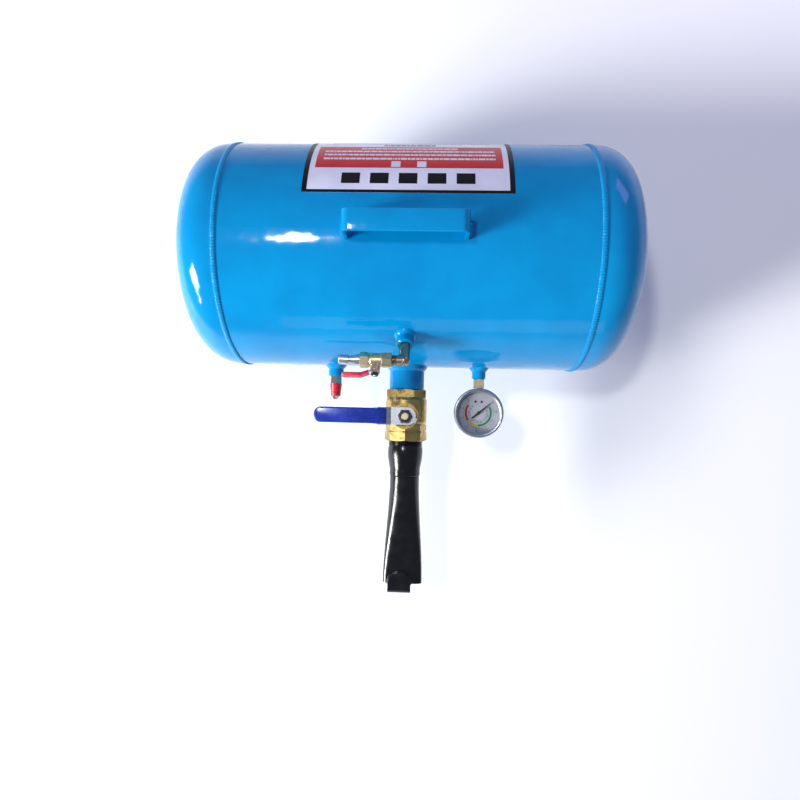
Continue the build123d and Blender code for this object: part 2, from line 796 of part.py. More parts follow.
def lever_plan(start, end, half_width):
    """Plan outline of a strip with both ends rounded."""
    length = end - start
    plan = Pos((start + end) / 2, 0) * RectangleRounded(length, 2 * half_width, half_width * 0.9)
    return plan


def make_lever(valve):
    """Bent strip lever with a hole that fits the stem's flats."""
    thickness = valve.plate_thickness / 2
    strip = bent_strip(valve.lever_path, -thickness, thickness, valve.plate_half_width)
    wide_end = valve.jog_end
    plan = lever_plan(-valve.hub_end, wide_end + valve.plate_half_width, valve.plate_half_width)
    plan += lever_plan(0, valve.tip, valve.grip_half_width)
    lever = strip & extrude(plan, 2 * valve.plate_top)
    hole = Circle(valve.stem_radius + 0.1) & Rectangle(
        4 * valve.stem_radius, 2 * (valve.stem_flat + 0.1)
    )
    lever -= extrude(hole, 2 * valve.plate_top)
    if valve.stops:
        tab = Box(
            valve.plate_thickness, STOP_TAB_WIDTH, STOP_TAB_DROP,
            align=(Align.CENTER, Align.CENTER, Align.MAX),
        )
        place = Rot(0, 0, stop_tab_turn(valve)) * Pos(stop_radius(valve), 0, valve.plate_top)
        lever += place * tab
    return valve.hub * lever


def make_lever_sleeve(valve):
    """Dipped sleeve over the lever's strip."""
    path = valve.lever_path
    fit = valve.plate_thickness / 2 + 0.05
    wall = valve.sleeve_wall
    height, top_height = path[1][1], path[2][1]
    slope = (top_height - height) / (valve.jog_end - valve.jog_start)
    sleeve_line = [path[3]]
    if valve.sleeve_start < valve.jog_end:
        rise = max(0.0, (valve.sleeve_start - valve.jog_start) * slope)
        sleeve_line = [(valve.sleeve_start, height + rise), path[2], path[3]]
    if valve.sleeve_start < valve.jog_start:
        sleeve_line.insert(1, path[1])
    sleeve_line[-1] = (valve.tip + wall, top_height)
    half_width = valve.grip_half_width + wall
    outer = bent_strip(sleeve_line, -fit - wall, fit + wall, half_width)
    plan = lever_plan(0, valve.tip + wall, half_width)
    outer &= extrude(plan, 3 * valve.plate_top)
    pocket = bent_strip(path, -fit, fit, valve.plate_half_width + wall)
    pocket_plan = lever_plan(-valve.hub_end, valve.tip + 0.05, valve.grip_half_width + 0.05)
    wide_plan = lever_plan(
        -valve.hub_end, valve.jog_end + valve.plate_half_width, valve.plate_half_width
    )
    pocket &= extrude(pocket_plan + wide_plan, 3 * valve.plate_top)
    return valve.hub * (outer - pocket)


def make_lever_nut(valve):
    """Locking nut with a round collar that holds the lever on the stem."""
    floor, top = valve.plate_top, valve.plate_top + valve.nut_height
    nut = flatted_bar(valve.nut_flats, floor, top)
    nut += rod(valve.nut_flats * 0.4, top, top + valve.nut_collar - 0.5)
    nut -= rod(valve.stem_thread + 0.05, floor - 1, top + valve.nut_collar + 1)
    return valve.hub * nut


OUTLET_VALVE = BallValve(
    flow=Plane(origin=(0, -OUTLET_END, 0), x_dir=(0, 0, 1), z_dir=(0, -1, 0)),
    lever_direction=(-1, 0, 0),
    sides=8, body_turn=22.5, cap_turn=0.0, body_bar=11.0, body_wall=4.3, neck_length=10.0,
    neck_wall=2.0, cap_length=13.0, socket_radius=LARGE_THREAD + THREAD_CLEARANCE,
    socket_wall=3.0, inlet_depth=15.0, inlet_web=2.3, outlet_depth=12.5, ball_radius=24.0,
    bore_radius=16.0, seat_thickness=6.0, seat_backing=1.1, stem_radius=6.0,
    collar_thickness=2.8, packing_shelf=3.8, packing_length=5.0, boss_radius=13.0,
    pad_radius=17.5, pad_thickness=3.5, gland_reach=2.0, gland_flats=19.0,
    gland_height=4.5, plate_thickness=3.0, plate_half_width=11.6, hub_end=14.4, jog_start=19.0,
    jog_end=36.0, jog_rise=9.0, tip=118.5, grip_half_width=8.5, sleeve_start=26.0,
    sleeve_wall=1.9, nut_flats=17.0, nut_height=5.0, nut_collar=2.5, stops=True,
)


# ------------------------------------------------------------------ nozzle
VALVE_END = OUTLET_END + OUTLET_VALVE.length
BELL_START = VALVE_END + NOZZLE_THREAD_SHOWN
RING_START = BELL_START + NOZZLE_BELL_LENGTH
TUBE_START = RING_START + NOZZLE_RING_LENGTH
MOUTH = TUBE_START + NOZZLE_TUBE_LENGTH


REDUCER_END_GAP = 0.5         # thread's end to the bottom of its socket
REDUCER_LIP = 1.0             # how far its bore lies inside the tube's
BELL_CREST = 10.0             # valve to the bell's widest ring
BELL_SHOULDER = 1.2
RING_CHAMFER = 1.0


def make_nozzle_reducer():
    """Turned reducer: a male thread, a bell that narrows and a ring that holds the tube."""
    thread_start = VALVE_END - OUTLET_VALVE.outlet_depth + REDUCER_END_GAP
    bore = NOZZLE_TUBE_RADIUS - NOZZLE_WALL - REDUCER_LIP
    profile = [(bore, thread_start)]
    profile += thread_profile(LARGE_THREAD, LARGE_PITCH, thread_start, BELL_START)
    shoulder = Plane.XZ * Spline(
        (NOZZLE_BELL_RADIUS - BELL_SHOULDER, BELL_START),
        (NOZZLE_BELL_RADIUS, BELL_START + BELL_CREST),
        (NOZZLE_BELL_RADIUS - 0.8, BELL_START + 2 * BELL_CREST),
        (NOZZLE_RING_RADIUS, RING_START),
    )
    rest = Polyline(
        (NOZZLE_RING_RADIUS, RING_START), (NOZZLE_RING_RADIUS, TUBE_START - 1.5),
        (NOZZLE_RING_RADIUS - RING_CHAMFER, TUBE_START - 0.5),
        (NOZZLE_TUBE_RADIUS - 0.5, TUBE_START), (bore, TUBE_START), *profile,
        (NOZZLE_BELL_RADIUS - BELL_SHOULDER, BELL_START),
    )
    section = make_face([shoulder, Plane.XZ * rest])
    return OUTLET_PLANE * revolve(section, Axis.Z)


def nozzle_half_sizes(share):
    """Half width and half height of the tube at a share of its length, at one girth."""
    blend = share * share * (3 - 2 * share)
    wide = NOZZLE_TUBE_RADIUS + (NOZZLE_END_HALF_WIDTH - NOZZLE_TUBE_RADIUS) * blend
    mean = NOZZLE_TUBE_RADIUS ** 2
    return wide, sqrt(max(2 * mean - wide * wide, 0.0)) * (1 - 0.12 * blend)


def nozzle_section(share, inset):
    """Closed outline of the tube's section, rounder at the valve and squarer at the mouth."""
    wide, high = nozzle_half_sizes(share)
    power = 2 / (2 + NOZZLE_SQUARENESS * share * share * (3 - 2 * share))
    points = []
    for step in range(SECTION_POINTS):
        angle = 2 * pi * step / SECTION_POINTS
        x, y = cos(angle), sin(angle)
        points.append((
            (wide - inset) * abs(x) ** power * (1 if x > 0 else -1),
            (high - inset) * abs(y) ** power * (1 if y > 0 else -1),
        ))
    return make_face(Spline(*points, periodic=True))


def make_nozzle_tube():
    """Tube flattened to a wide mouth."""
    skins = []
    for inset in (0.0, NOZZLE_WALL):
        sections = []
        for index in range(NOZZLE_SECTIONS):
            share = index / (NOZZLE_SECTIONS - 1)
            sections.append(Pos(0, 0, share * NOZZLE_TUBE_LENGTH) * nozzle_section(share, inset))
        skins.append(loft(sections))
    return OUTLET_PLANE * Pos(0, 0, TUBE_START) * (skins[0] - skins[1])


def make_nozzle_hook():
    """Strap on top of the mouth that bends down to hook over a wheel's rim."""
    top = nozzle_half_sizes(1.0 - HOOK_OVERLAP / NOZZLE_TUBE_LENGTH)[1] + HOOK_SEAT
    back = MOUTH - HOOK_OVERLAP
    front = MOUTH + HOOK_PROUD
    outside = Pos((back + front) / 2, top + (HOOK_THICKNESS - HOOK_DROP) / 2) * Rectangle(
        front - back, HOOK_THICKNESS + HOOK_DROP
    )
    inside = Pos((back + front) / 2 - HOOK_THICKNESS, top - HOOK_DROP / 2) * Rectangle(
        front - back, HOOK_DROP
    )
    outside = fillet(outside.vertices().group_by(Axis.Y)[-1].sort_by(Axis.X)[-1], HOOK_RADIUS)
    inside = fillet(
        inside.vertices().group_by(Axis.Y)[-1].sort_by(Axis.X)[-1], HOOK_RADIUS - HOOK_THICKNESS
    )
    side = Plane.YZ * (outside - inside)
    hook = Rot(0, 0, 180) * extrude(side, HOOK_WIDTH / 2, both=True)
    round_end = Pos(0, -(back + HOOK_WIDTH / 2)) * Circle(HOOK_WIDTH / 2)
    straight = Pos(0, -(back + HOOK_WIDTH / 2 + front) / 2) * Rectangle(
        HOOK_WIDTH, front - back - HOOK_WIDTH / 2
    )
    hook &= Pos(0, 0, -HOOK_DROP) * extrude(round_end + straight, 4 * HOOK_DROP)
    return Pos(HOOK_OFFSET, 0, 0) * hook


# ------------------------------------------------------------------ filling line
ELBOW_CORNER = BOSS_END + ELBOW_RISE
ELBOW_LEVEL = Plane(origin=INLET_PLANE.origin + INLET_PLANE.z_dir * ELBOW_CORNER,
                    x_dir=(0, 0, 1), z_dir=(-1, 0, 0))
ELBOW_END = ELBOW_BRANCH + ELBOW_THREAD_SHOWN


ELBOW_THREAD_LENGTH = 8.5
ELBOW_SHOULDER = 1.5
ELBOW_SEAM = 0.4              # step between the elbow's two arms, so no faces share a line


def make_elbow():
    """Male elbow from the inlet boss to the filling valve."""
    thread_start = BOSS_END - SMALL_THREAD_LENGTH
    trunk = turned([(0, thread_start)] + thread_profile(
        SMALL_THREAD, SMALL_PITCH, thread_start, BOSS_END
    ) + [
        (ELBOW_RADIUS, BOSS_END + ELBOW_SHOULDER),
        (ELBOW_RADIUS, ELBOW_CORNER), (0, ELBOW_CORNER),
    ], INLET_PLANE)
    thread_end = ELBOW_END + ELBOW_THREAD_LENGTH
    branch = turned([
        (0, 0), (ELBOW_RADIUS - ELBOW_SEAM, 0), (ELBOW_RADIUS - ELBOW_SEAM, ELBOW_BRANCH),
    ] + thread_profile(
        SMALL_THREAD, SMALL_PITCH, ELBOW_BRANCH + 0.5, thread_end
    ) + [(SMALL_THREAD - SMALL_PITCH, thread_end), (0, thread_end)], ELBOW_LEVEL)
    elbow = trunk + branch + ELBOW_LEVEL * Sphere(ELBOW_RADIUS)
    elbow -= INLET_PLANE * rod(ELBOW_BORE, thread_start - 1, ELBOW_CORNER)
    elbow -= ELBOW_LEVEL * rod(ELBOW_BORE, 0, thread_end + 1)
    return elbow - ELBOW_LEVEL * Sphere(ELBOW_BORE)


STEM_TILT = radians(FILL_VALVE_TILT)
FILL_VALVE = BallValve(
    flow=Plane(
        origin=ELBOW_LEVEL.origin + ELBOW_LEVEL.z_dir * ELBOW_END,
        x_dir=(0, -cos(STEM_TILT), sin(STEM_TILT)), z_dir=(-1, 0, 0),
    ),
    lever_direction=(-1, 0, 0),
    sides=6, body_turn=10.0, cap_turn=25.0, body_bar=11.5, body_wall=1.9, neck_length=1.5,
    neck_wall=1.1, cap_length=10.5, socket_radius=SMALL_BORE, socket_wall=1.9,
    inlet_depth=9.0, inlet_web=4.7, outlet_depth=9.5, ball_radius=6.4, bore_radius=3.6,
    seat_thickness=1.6, seat_backing=0.5, stem_radius=2.5, collar_thickness=0.8,
    packing_shelf=1.9, packing_length=3.5, boss_radius=6.0, pad_radius=6.0,
    pad_thickness=1.0, gland_reach=1.5, gland_flats=9.0, gland_height=1.6,
    plate_thickness=1.8, plate_half_width=4.6, hub_end=6.0, jog_start=8.0,
    jog_end=17.0, jog_rise=3.5, tip=39.0, grip_half_width=3.6, sleeve_start=7.0,
    sleeve_wall=1.1, nut_flats=8.0, nut_height=2.6, nut_collar=1.2, stops=False,
)


PLUG_END_GAP = 0.5            # thread's end to the bottom of its socket
PLUG_CHAMFER = 1.0


def make_quick_plug():
    """Male quick-connect plug for an air hose, screwed into the filling valve."""
    thread_length = FILL_VALVE.outlet_depth - PLUG_END_GAP
    profile = [(PLUG_BORE, -thread_length)]
    profile += thread_profile(SMALL_THREAD, SMALL_PITCH, -thread_length, 0)
    height = 0.0
    for radius, length in (PLUG_COLLAR, PLUG_BODY, PLUG_GROOVE, PLUG_NOSE):
        profile += [(radius, height), (radius, height + length)]
        height += length
    tip_radius = PLUG_NOSE[0]
    profile[-1] = (tip_radius, height - PLUG_CHAMFER)
    profile += [(tip_radius - PLUG_CHAMFER, height), (PLUG_BORE, height)]
    place = FILL_VALVE.flow * Pos(0, 0, FILL_VALVE.length)
    return place * turned(profile)


# ------------------------------------------------------------------ safety valve
SAFETY_HEX_END = BOSS_END + SAFETY_HEX_LENGTH
SAFETY_SLEEVE_END = SAFETY_HEX_END + SAFETY_SLEEVE_LENGTH
SAFETY_SEAT = BOSS_END + SAFETY_SEAT_DEPTH
SAFETY_CLEAR = 0.2


def make_safety_body():
    """Nickel-plated body: male thread, hex, seat and the spring's barrel."""
    thread_start = BOSS_END - SMALL_THREAD_LENGTH
    profile = [(SAFETY_SEAT_BORE, thread_start)]
    profile += thread_profile(SMALL_THREAD, SMALL_PITCH, thread_start, BOSS_END)
    profile += [
        (SAFETY_BARREL, BOSS_END),
        (SAFETY_BARREL, SAFETY_SLEEVE_END), (SAFETY_CHAMBER, SAFETY_SLEEVE_END),
        (SAFETY_CHAMBER, SAFETY_SEAT), (SAFETY_SEAT_BORE, SAFETY_SEAT),
    ]
    hexagon = flatted_bar(SAFETY_HEX, BOSS_END, SAFETY_HEX_END, turn=15.0)
    hexagon -= rod(SAFETY_BARREL - 0.5, BOSS_END - 1, SAFETY_HEX_END + 1)
    return SAFETY_PLANE * (turned(profile) + hexagon)


def make_safety_sleeve():
    """Tapered red sleeve around the barrel."""
    bore = SAFETY_BARREL + RUNNING_CLEARANCE
    return turned([
        (bore, SAFETY_HEX_END), (SAFETY_SLEEVE_WIDE, SAFETY_HEX_END),
        (SAFETY_SLEEVE_NARROW, SAFETY_SLEEVE_END), (bore, SAFETY_SLEEVE_END),
    ], SAFETY_PLANE)


def make_safety_adjuster():
    """Pointed screw that closes the barrel and holds the spring."""
    bore = POPPET_STEM + SAFETY_CLEAR
    start = SAFETY_SLEEVE_END - ADJUSTER_DEPTH
    tip_end = SAFETY_SLEEVE_END + SAFETY_TIP_LENGTH
    tip = extrude(
        Pos(0, 0, SAFETY_SLEEVE_END) * RegularPolygon(SAFETY_BARREL, 8), SAFETY_TIP_LENGTH,
        taper=degrees((SAFETY_BARREL - SAFETY_TIP_NARROW) / SAFETY_TIP_LENGTH * 0.8),
    )
    plug = rod(SAFETY_CHAMBER - RUNNING_CLEARANCE, start, SAFETY_SLEEVE_END)
    return SAFETY_PLANE * (tip + plug - rod(bore, start - 1, tip_end - 2.0))


def make_safety_poppet():
    """Disc and guide stem that lift against the spring."""
    floor = SAFETY_SEAT + SEAL_THICKNESS
    top = SAFETY_SLEEVE_END - 1.0
    return turned([
        (0, floor), (POPPET_RADIUS, floor), (POPPET_RADIUS, floor + POPPET_THICKNESS),
        (POPPET_STEM, floor + POPPET_THICKNESS), (POPPET_STEM, top), (0, top),
    ], SAFETY_PLANE)


def make_safety_seal():
    """Rubber disc under the poppet."""
    return SAFETY_PLANE * rod(POPPET_RADIUS, SAFETY_SEAT, SAFETY_SEAT + SEAL_THICKNESS)


def make_safety_spring():
    """Helical spring between the poppet and the adjuster."""
    start = SAFETY_SEAT + SEAL_THICKNESS + POPPET_THICKNESS + SPRING_WIRE
    end = SAFETY_SLEEVE_END - ADJUSTER_DEPTH - SPRING_WIRE
    path = Helix(SPRING_PITCH, end - start, SPRING_RADIUS, center=(0, 0, start))
    wire = Plane(origin=path @ 0, z_dir=path % 0) * Circle(SPRING_WIRE)
    return SAFETY_PLANE * sweep(wire, path, is_frenet=True)


# ------------------------------------------------------------------ gauge
GAUGE_CENTRE = BOSS_END + GAUGE_REACH
GAUGE_FRAME = Plane(origin=(PORT_SPACING, -GAUGE_CENTRE, 0), x_dir=(1, 0, 0), z_dir=(0, 0, 1))
SOCKET_AXIS = Rot(-90, 0, 0)   # turns +Z to +Y, from the gauge's centre to the boss
SOCKET_BLOCK_START = CASE_RADIUS - CASE_WALL - SOCKET_BLOCK_GAP - SOCKET_BLOCK[1]
SECTOR_PIVOT = SOCKET_BLOCK_START + SECTOR_SEAT
GEAR_MODULE = 2 * SECTOR_PIVOT / (PINION_TEETH + SECTOR_TEETH)
PINION_RADIUS = GEAR_MODULE * PINION_TEETH / 2
SECTOR_RADIUS = GEAR_MODULE * SECTOR_TEETH / 2
LOWER_PLATE = SOCKET_TOP
GEAR_FLOOR = LOWER_PLATE + PLATE_THICKNESS + GEAR_GAP
UPPER_PLATE = GEAR_FLOOR + GEAR_THICKNESS + GEAR_GAP
UPPER_PLATE_TOP = UPPER_PLATE + PLATE_THICKNESS


def make_gauge_socket():
    """Brass connection: male thread, square neck and the block that carries the works."""
    width, length = SOCKET_BLOCK
    block = Pos(0, SOCKET_BLOCK_START, SOCKET_BOTTOM) * Box(
        width, length, SOCKET_TOP - SOCKET_BOTTOM, align=(Align.CENTER, Align.MIN, Align.MIN)
    )
    neck_end = GAUGE_REACH
    flats_start = BEZEL_RADIUS + 0.5
    round_neck = rod(SOCKET_NECK, SOCKET_BLOCK_START + length, flats_start)
    flats = flatted_bar(SOCKET_FLATS, flats_start, neck_end, sides=4, turn=45.0)
    thread = turned([(0, neck_end)] + thread_profile(
        SMALL_THREAD, SMALL_PITCH, neck_end, neck_end + 11.0
    ) + [(0, neck_end + 11.0)])
    bore = rod(SOCKET_BORE, SOCKET_BLOCK_START + 4.0, neck_end + 12.0)
    bar = SOCKET_AXIS * (round_neck + flats + thread)
    return GAUGE_FRAME * (block + bar - SOCKET_AXIS * bore)


def make_gauge_case():
    """Steel cup with a hole for the socket."""
    inner = CASE_RADIUS - CASE_WALL
    case = turned([
        (0, CASE_BACK), (CASE_RADIUS, CASE_BACK), (CASE_RADIUS, CASE_FRONT),
        (inner, CASE_FRONT), (inner, CASE_BACK + CASE_WALL), (0, CASE_BACK + CASE_WALL),
    ])
    case -= SOCKET_AXIS * rod(SOCKET_NECK + 0.1, CASE_RADIUS / 2, CASE_RADIUS + 1)
    return GAUGE_FRAME * case


def make_gauge_window():
    """Clear disc on the case's rim."""
    return GAUGE_FRAME * rod(
        CASE_RADIUS - 0.3, CASE_FRONT, CASE_FRONT + WINDOW_THICKNESS
    )


def make_gauge_bezel():
    """Polished ring that holds the window on the case."""
    window_top = CASE_FRONT + WINDOW_THICKNESS
    front = window_top + BEZEL_LIP
    bore = CASE_RADIUS + RUNNING_CLEARANCE
    return turned([
        (bore, CASE_FRONT - 5.0), (BEZEL_RADIUS - 0.6, CASE_FRONT - 5.0),
        (BEZEL_RADIUS, CASE_FRONT - 4.0), (BEZEL_RADIUS, front - 1.6),
        (BEZEL_RADIUS - 1.0, front - 0.4), (BEZEL_RADIUS - 2.4, front),
        (BEZEL_OPENING + 1.2, front - 0.4), (BEZEL_OPENING, front - 1.2),
        (BEZEL_OPENING, window_top), (bore, window_top),
    ], GAUGE_FRAME)


def make_gauge_dial():
    """Dial plate with holes for the arbor and its two screws."""
    top = DIAL_HEIGHT + DIAL_THICKNESS
    dial = rod(DIAL_RADIUS, DIAL_HEIGHT, top)
    dial -= rod(ARBOR_RADIUS + 0.7, DIAL_HEIGHT - 1, top + 1)
    for side in (-1, 1):
        place = Pos(side * DIAL_SCREW_PLACE[0], DIAL_SCREW_PLACE[1], 0)
        dial -= place * rod(DIAL_SCREW_RADIUS + 0.1, DIAL_HEIGHT - 1, top + 1)
    return GAUGE_FRAME * dial


def make_dial_screws():
    """Two small screws that hold the dial to the movement."""
    top = DIAL_HEIGHT + DIAL_THICKNESS
    screws = []
    for side in (-1, 1):
        place = Pos(side * DIAL_SCREW_PLACE[0], DIAL_SCREW_PLACE[1], 0)
        screws.append(place * turned([
            (0, UPPER_PLATE_TOP), (DIAL_SCREW_RADIUS, UPPER_PLATE_TOP),
            (DIAL_SCREW_RADIUS, top), (DIAL_SCREW_HEAD, top),
            (DIAL_SCREW_HEAD, top + 0.5), (0, top + 0.8),
        ]))
    return GAUGE_FRAME * (Part() + screws)


def make_pointer():
    """Balanced needle on the arbor, drawn along +X and turned to zero."""
    top = POINTER_HEIGHT + POINTER_THICKNESS
    needle = make_face(Polyline(
        (-POINTER_TAIL, -1.3), (0, -1.0), (POINTER_TIP, -0.25), (POINTER_TIP, 0.25),
        (0, 1.0), (-POINTER_TAIL, 1.3), close=True,
    ))
    pointer = Pos(0, 0, POINTER_HEIGHT) * extrude(needle, POINTER_THICKNESS)
    pointer += rod(POINTER_HUB, POINTER_HEIGHT - 0.2, top + 0.2)
    pointer -= rod(ARBOR_RADIUS + 0.02, POINTER_HEIGHT - 1, top + 1)
    return GAUGE_FRAME * Rot(0, 0, POINTER_ZERO) * pointer


def involute(angle):
    """Involute function of a pressure angle in radians."""
    return tan(angle) - angle


def gear_outline(teeth, addendum, first_tooth):
    """Closed outline of an involute gear with thinned teeth; first_tooth is in degrees."""
    pressure = radians(20.0)
    pitch_radius = GEAR_MODULE * teeth / 2
    base = pitch_radius * cos(pressure)
    root = pitch_radius - 1.25 * GEAR_MODULE
    tip = pitch_radius + addendum
    half_pitch = (pi * GEAR_MODULE / 2 - GEAR_THINNING) / (2 * pitch_radius)
    start = max(base, root)
    flank = []
    for step in range(4):
        radius = start + (tip - start) * step / 3
        roll = sqrt(max((radius / base) ** 2 - 1, 0.0))
        half = half_pitch + involute(pressure) - (roll - atan(roll))
        flank.append((radius, half))
    if root < base:
        flank.insert(0, (root, flank[0][1]))
    points = []
    for tooth in range(teeth):
        middle = radians(first_tooth) + 2 * pi * tooth / teeth
        for radius, half in flank:
            points.append((radius * cos(middle - half), radius * sin(middle - half)))
        for radius, half in reversed(flank):
            points.append((radius * cos(middle + half), radius * sin(middle + half)))
    return make_face(Polyline(*points, close=True))


def make_pinion_arbor():
    """Arbor with its pinion, through both movement plates and the dial."""
    gear = extrude(gear_outline(PINION_TEETH, 0.45, 90.0), GEAR_THICKNESS)
    return GAUGE_FRAME * (
        Pos(0, 0, GEAR_FLOOR) * gear + rod(ARBOR_RADIUS, LOWER_PLATE, ARBOR_TOP)
    )


def make_sector_gear():
    """Toothed sector that turns the pinion, on its own arbor."""
    half_tooth = 180.0 / SECTOR_TEETH
    start = -90.0 - SECTOR_SWING - SECTOR_MARGIN
    span = SECTOR_SWING + 2 * SECTOR_MARGIN
    fan = gear_outline(SECTOR_TEETH, 0.35, -90.0 + half_tooth)
    reach = 2 * SECTOR_RADIUS
    edge = [radians(start + span * step / 4) for step in range(5)]
    slice_outline = [(0, 0)] + [(reach * cos(turn), reach * sin(turn)) for turn in edge]
    fan &= make_face(Polyline(*slice_outline, close=True))
    sector = extrude(fan + Circle(3.0), GEAR_THICKNESS)
    sector = Pos(0, 0, GEAR_FLOOR) * sector + rod(ARBOR_RADIUS, LOWER_PLATE, UPPER_PLATE_TOP)
    return GAUGE_FRAME * Pos(0, SECTOR_PIVOT, 0) * sector


def make_movement_frame():
    """Two plates on pillars that hold the pinion's and the sector's arbors."""
    low, high = -PINION_RADIUS - 6.0, SECTOR_PIVOT + 4.0
    plan = Pos(0, (low + high) / 2) * RectangleRounded(MOVEMENT_WIDTH, high - low, 4.0)
    hole = Circle(ARBOR_RADIUS + RUNNING_CLEARANCE)
    plan -= hole
    plan -= Pos(0, SECTOR_PIVOT) * hole
    frame = Pos(0, 0, LOWER_PLATE) * extrude(plan, PLATE_THICKNESS)
    frame += Pos(0, 0, UPPER_PLATE) * extrude(plan, PLATE_THICKNESS)
    pillars = [(0, low + 2.5), (-5.5, high - 2.5), (5.5, high - 2.5)]
    for x, y in pillars:
        frame += Pos(x, y, 0) * rod(PILLAR_RADIUS, LOWER_PLATE, UPPER_PLATE)
    return GAUGE_FRAME * frame


def make_bourdon_tube(socket):
    """Flattened C-shaped tube that uncurls under pressure, rooted in the socket's block."""
    section = Plane.XZ * Pos(TUBE_RADIUS, (SOCKET_TOP + SOCKET_BOTTOM) / 2) * RectangleRounded(
        TUBE_WIDTH, TUBE_HEIGHT, TUBE_WIDTH * 0.45
    )
    hollow = Plane.XZ * Pos(TUBE_RADIUS, (SOCKET_TOP + SOCKET_BOTTOM) / 2) * RectangleRounded(
        TUBE_WIDTH - 1.0, TUBE_HEIGHT - 1.0, (TUBE_WIDTH - 1.0) * 0.45
    )
    curl = revolve(section, Axis.Z, TUBE_SWEEP) - Rot(0, 0, 8) * revolve(
        hollow, Axis.Z, TUBE_SWEEP - 16
    )
    return GAUGE_FRAME * Rot(0, 0, 98) * curl - socket


# ------------------------------------------------------------------ assembly
def make_valve_parts(valve, prefix):
    """All pieces of one ball valve, by node name."""
    return {
        f"{prefix}_valve_body": make_valve_body(valve),
        f"{prefix}_valve_cap": make_valve_cap(valve),
        f"{prefix}_valve_ball": make_valve_ball(valve),
        f"{prefix}_valve_seats": make_valve_seats(valve),
        f"{prefix}_valve_stem": make_valve_stem(valve),
        f"{prefix}_stem_packing": make_stem_packing(valve),
        f"{prefix}_gland": make_gland(valve),
        f"{prefix}_lever": make_lever(valve),
        f"{prefix}_lever_sleeve": make_lever_sleeve(valve),
        f"{prefix}_lever_nut": make_lever_nut(valve),
    }


def make_vessel_parts():
    """Pressure vessel with everything that is welded or glued to it."""
    parts = {
        "shell": make_shell(),
        "head_left": make_head(-1),
        "head_right": make_head(1),
        "weld_bead_left": make_bead(-1),
        "weld_bead_right": make_bead(1),
        "handle": make_handle(),
        "handle_welds": make_handle_welds(),
        "foot_left": make_foot(-1),
        "foot_right": make_foot(1),
        "foot_welds": make_foot_welds(),
        "label": make_label(),
        "boss_welds": Part() + [make_boss_weld(boss) for boss in BOSSES.values()],
        "drain_plug": make_drain_plug(),
    }
    for name, boss in BOSSES.items():
        threaded_end = OUTLET_VALVE.inlet_depth - 0.5 if name == "outlet_pipe" else 0.0
        parts[name] = make_boss(boss, threaded_end)
    return parts


def make_nozzle_parts():
    """Nozzle that screws into the outlet valve."""
    return {
        "nozzle_reducer": make_nozzle_reducer(),
        "nozzle_tube": make_nozzle_tube(),
        "nozzle_hook": make_nozzle_hook(),
    }


def make_safety_parts():
    """Spring-loaded safety valve."""
    return {
        "safety_body": make_safety_body(),
        "safety_sleeve": make_safety_sleeve(),
        "safety_adjuster": make_safety_adjuster(),
        "safety_poppet": make_safety_poppet(),
        "safety_seal": make_safety_seal(),
        "safety_spring": make_safety_spring(),
    }


def make_gauge_parts():
    """Bourdon-tube pressure gauge."""
    socket = make_gauge_socket()
    return {
        "gauge_socket": socket,
        "gauge_case": make_gauge_case(),
        "gauge_bezel": make_gauge_bezel(),
        "gauge_window": make_gauge_window(),
        "gauge_dial": make_gauge_dial(),
        "dial_screws": make_dial_screws(),
        "gauge_pointer": make_pointer(),
        "pinion_arbor": make_pinion_arbor(),
        "sector_gear": make_sector_gear(),
        "movement_frame": make_movement_frame(),
        "bourdon_tube": make_bourdon_tube(socket),
    }


def main():
    """Build every piece, stand the object on the floor and write one STEP file per node."""
    parts = make_vessel_parts()
    parts |= make_valve_parts(OUTLET_VALVE, "outlet")
    parts |= make_nozzle_parts()
    parts |= {"inlet_elbow": make_elbow(), "quick_plug": make_quick_plug()}
    parts |= make_valve_parts(FILL_VALVE, "fill")
    parts |= make_safety_parts()
    parts |= make_gauge_parts()
    boxes = [part.bounding_box() for part in parts.values()]
    front = min(box.min.Y for box in boxes)
    back = max(box.max.Y for box in boxes)
    stand = Pos(0, -(front + back) / 2, TANK_RADIUS + FOOT_HEIGHT)
    os.makedirs("parts", exist_ok=True)
    for name, part in parts.items():
        export_step(stand * part, f"parts/{name}.step")
    print("tank axis at", stand.position)
    for title, plane in (
        ("outlet hub", OUTLET_VALVE.hub), ("fill hub", FILL_VALVE.hub), ("gauge", GAUGE_FRAME),
    ):
        print(title, stand.position + plane.origin, "axis", plane.z_dir)


if __name__ == "__main__":
    main()
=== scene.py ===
import json
import logging
import math
from collections.abc import Callable
from dataclasses import dataclass, field
from enum import Enum

import bmesh
import bpy
from mathutils import Matrix, Vector

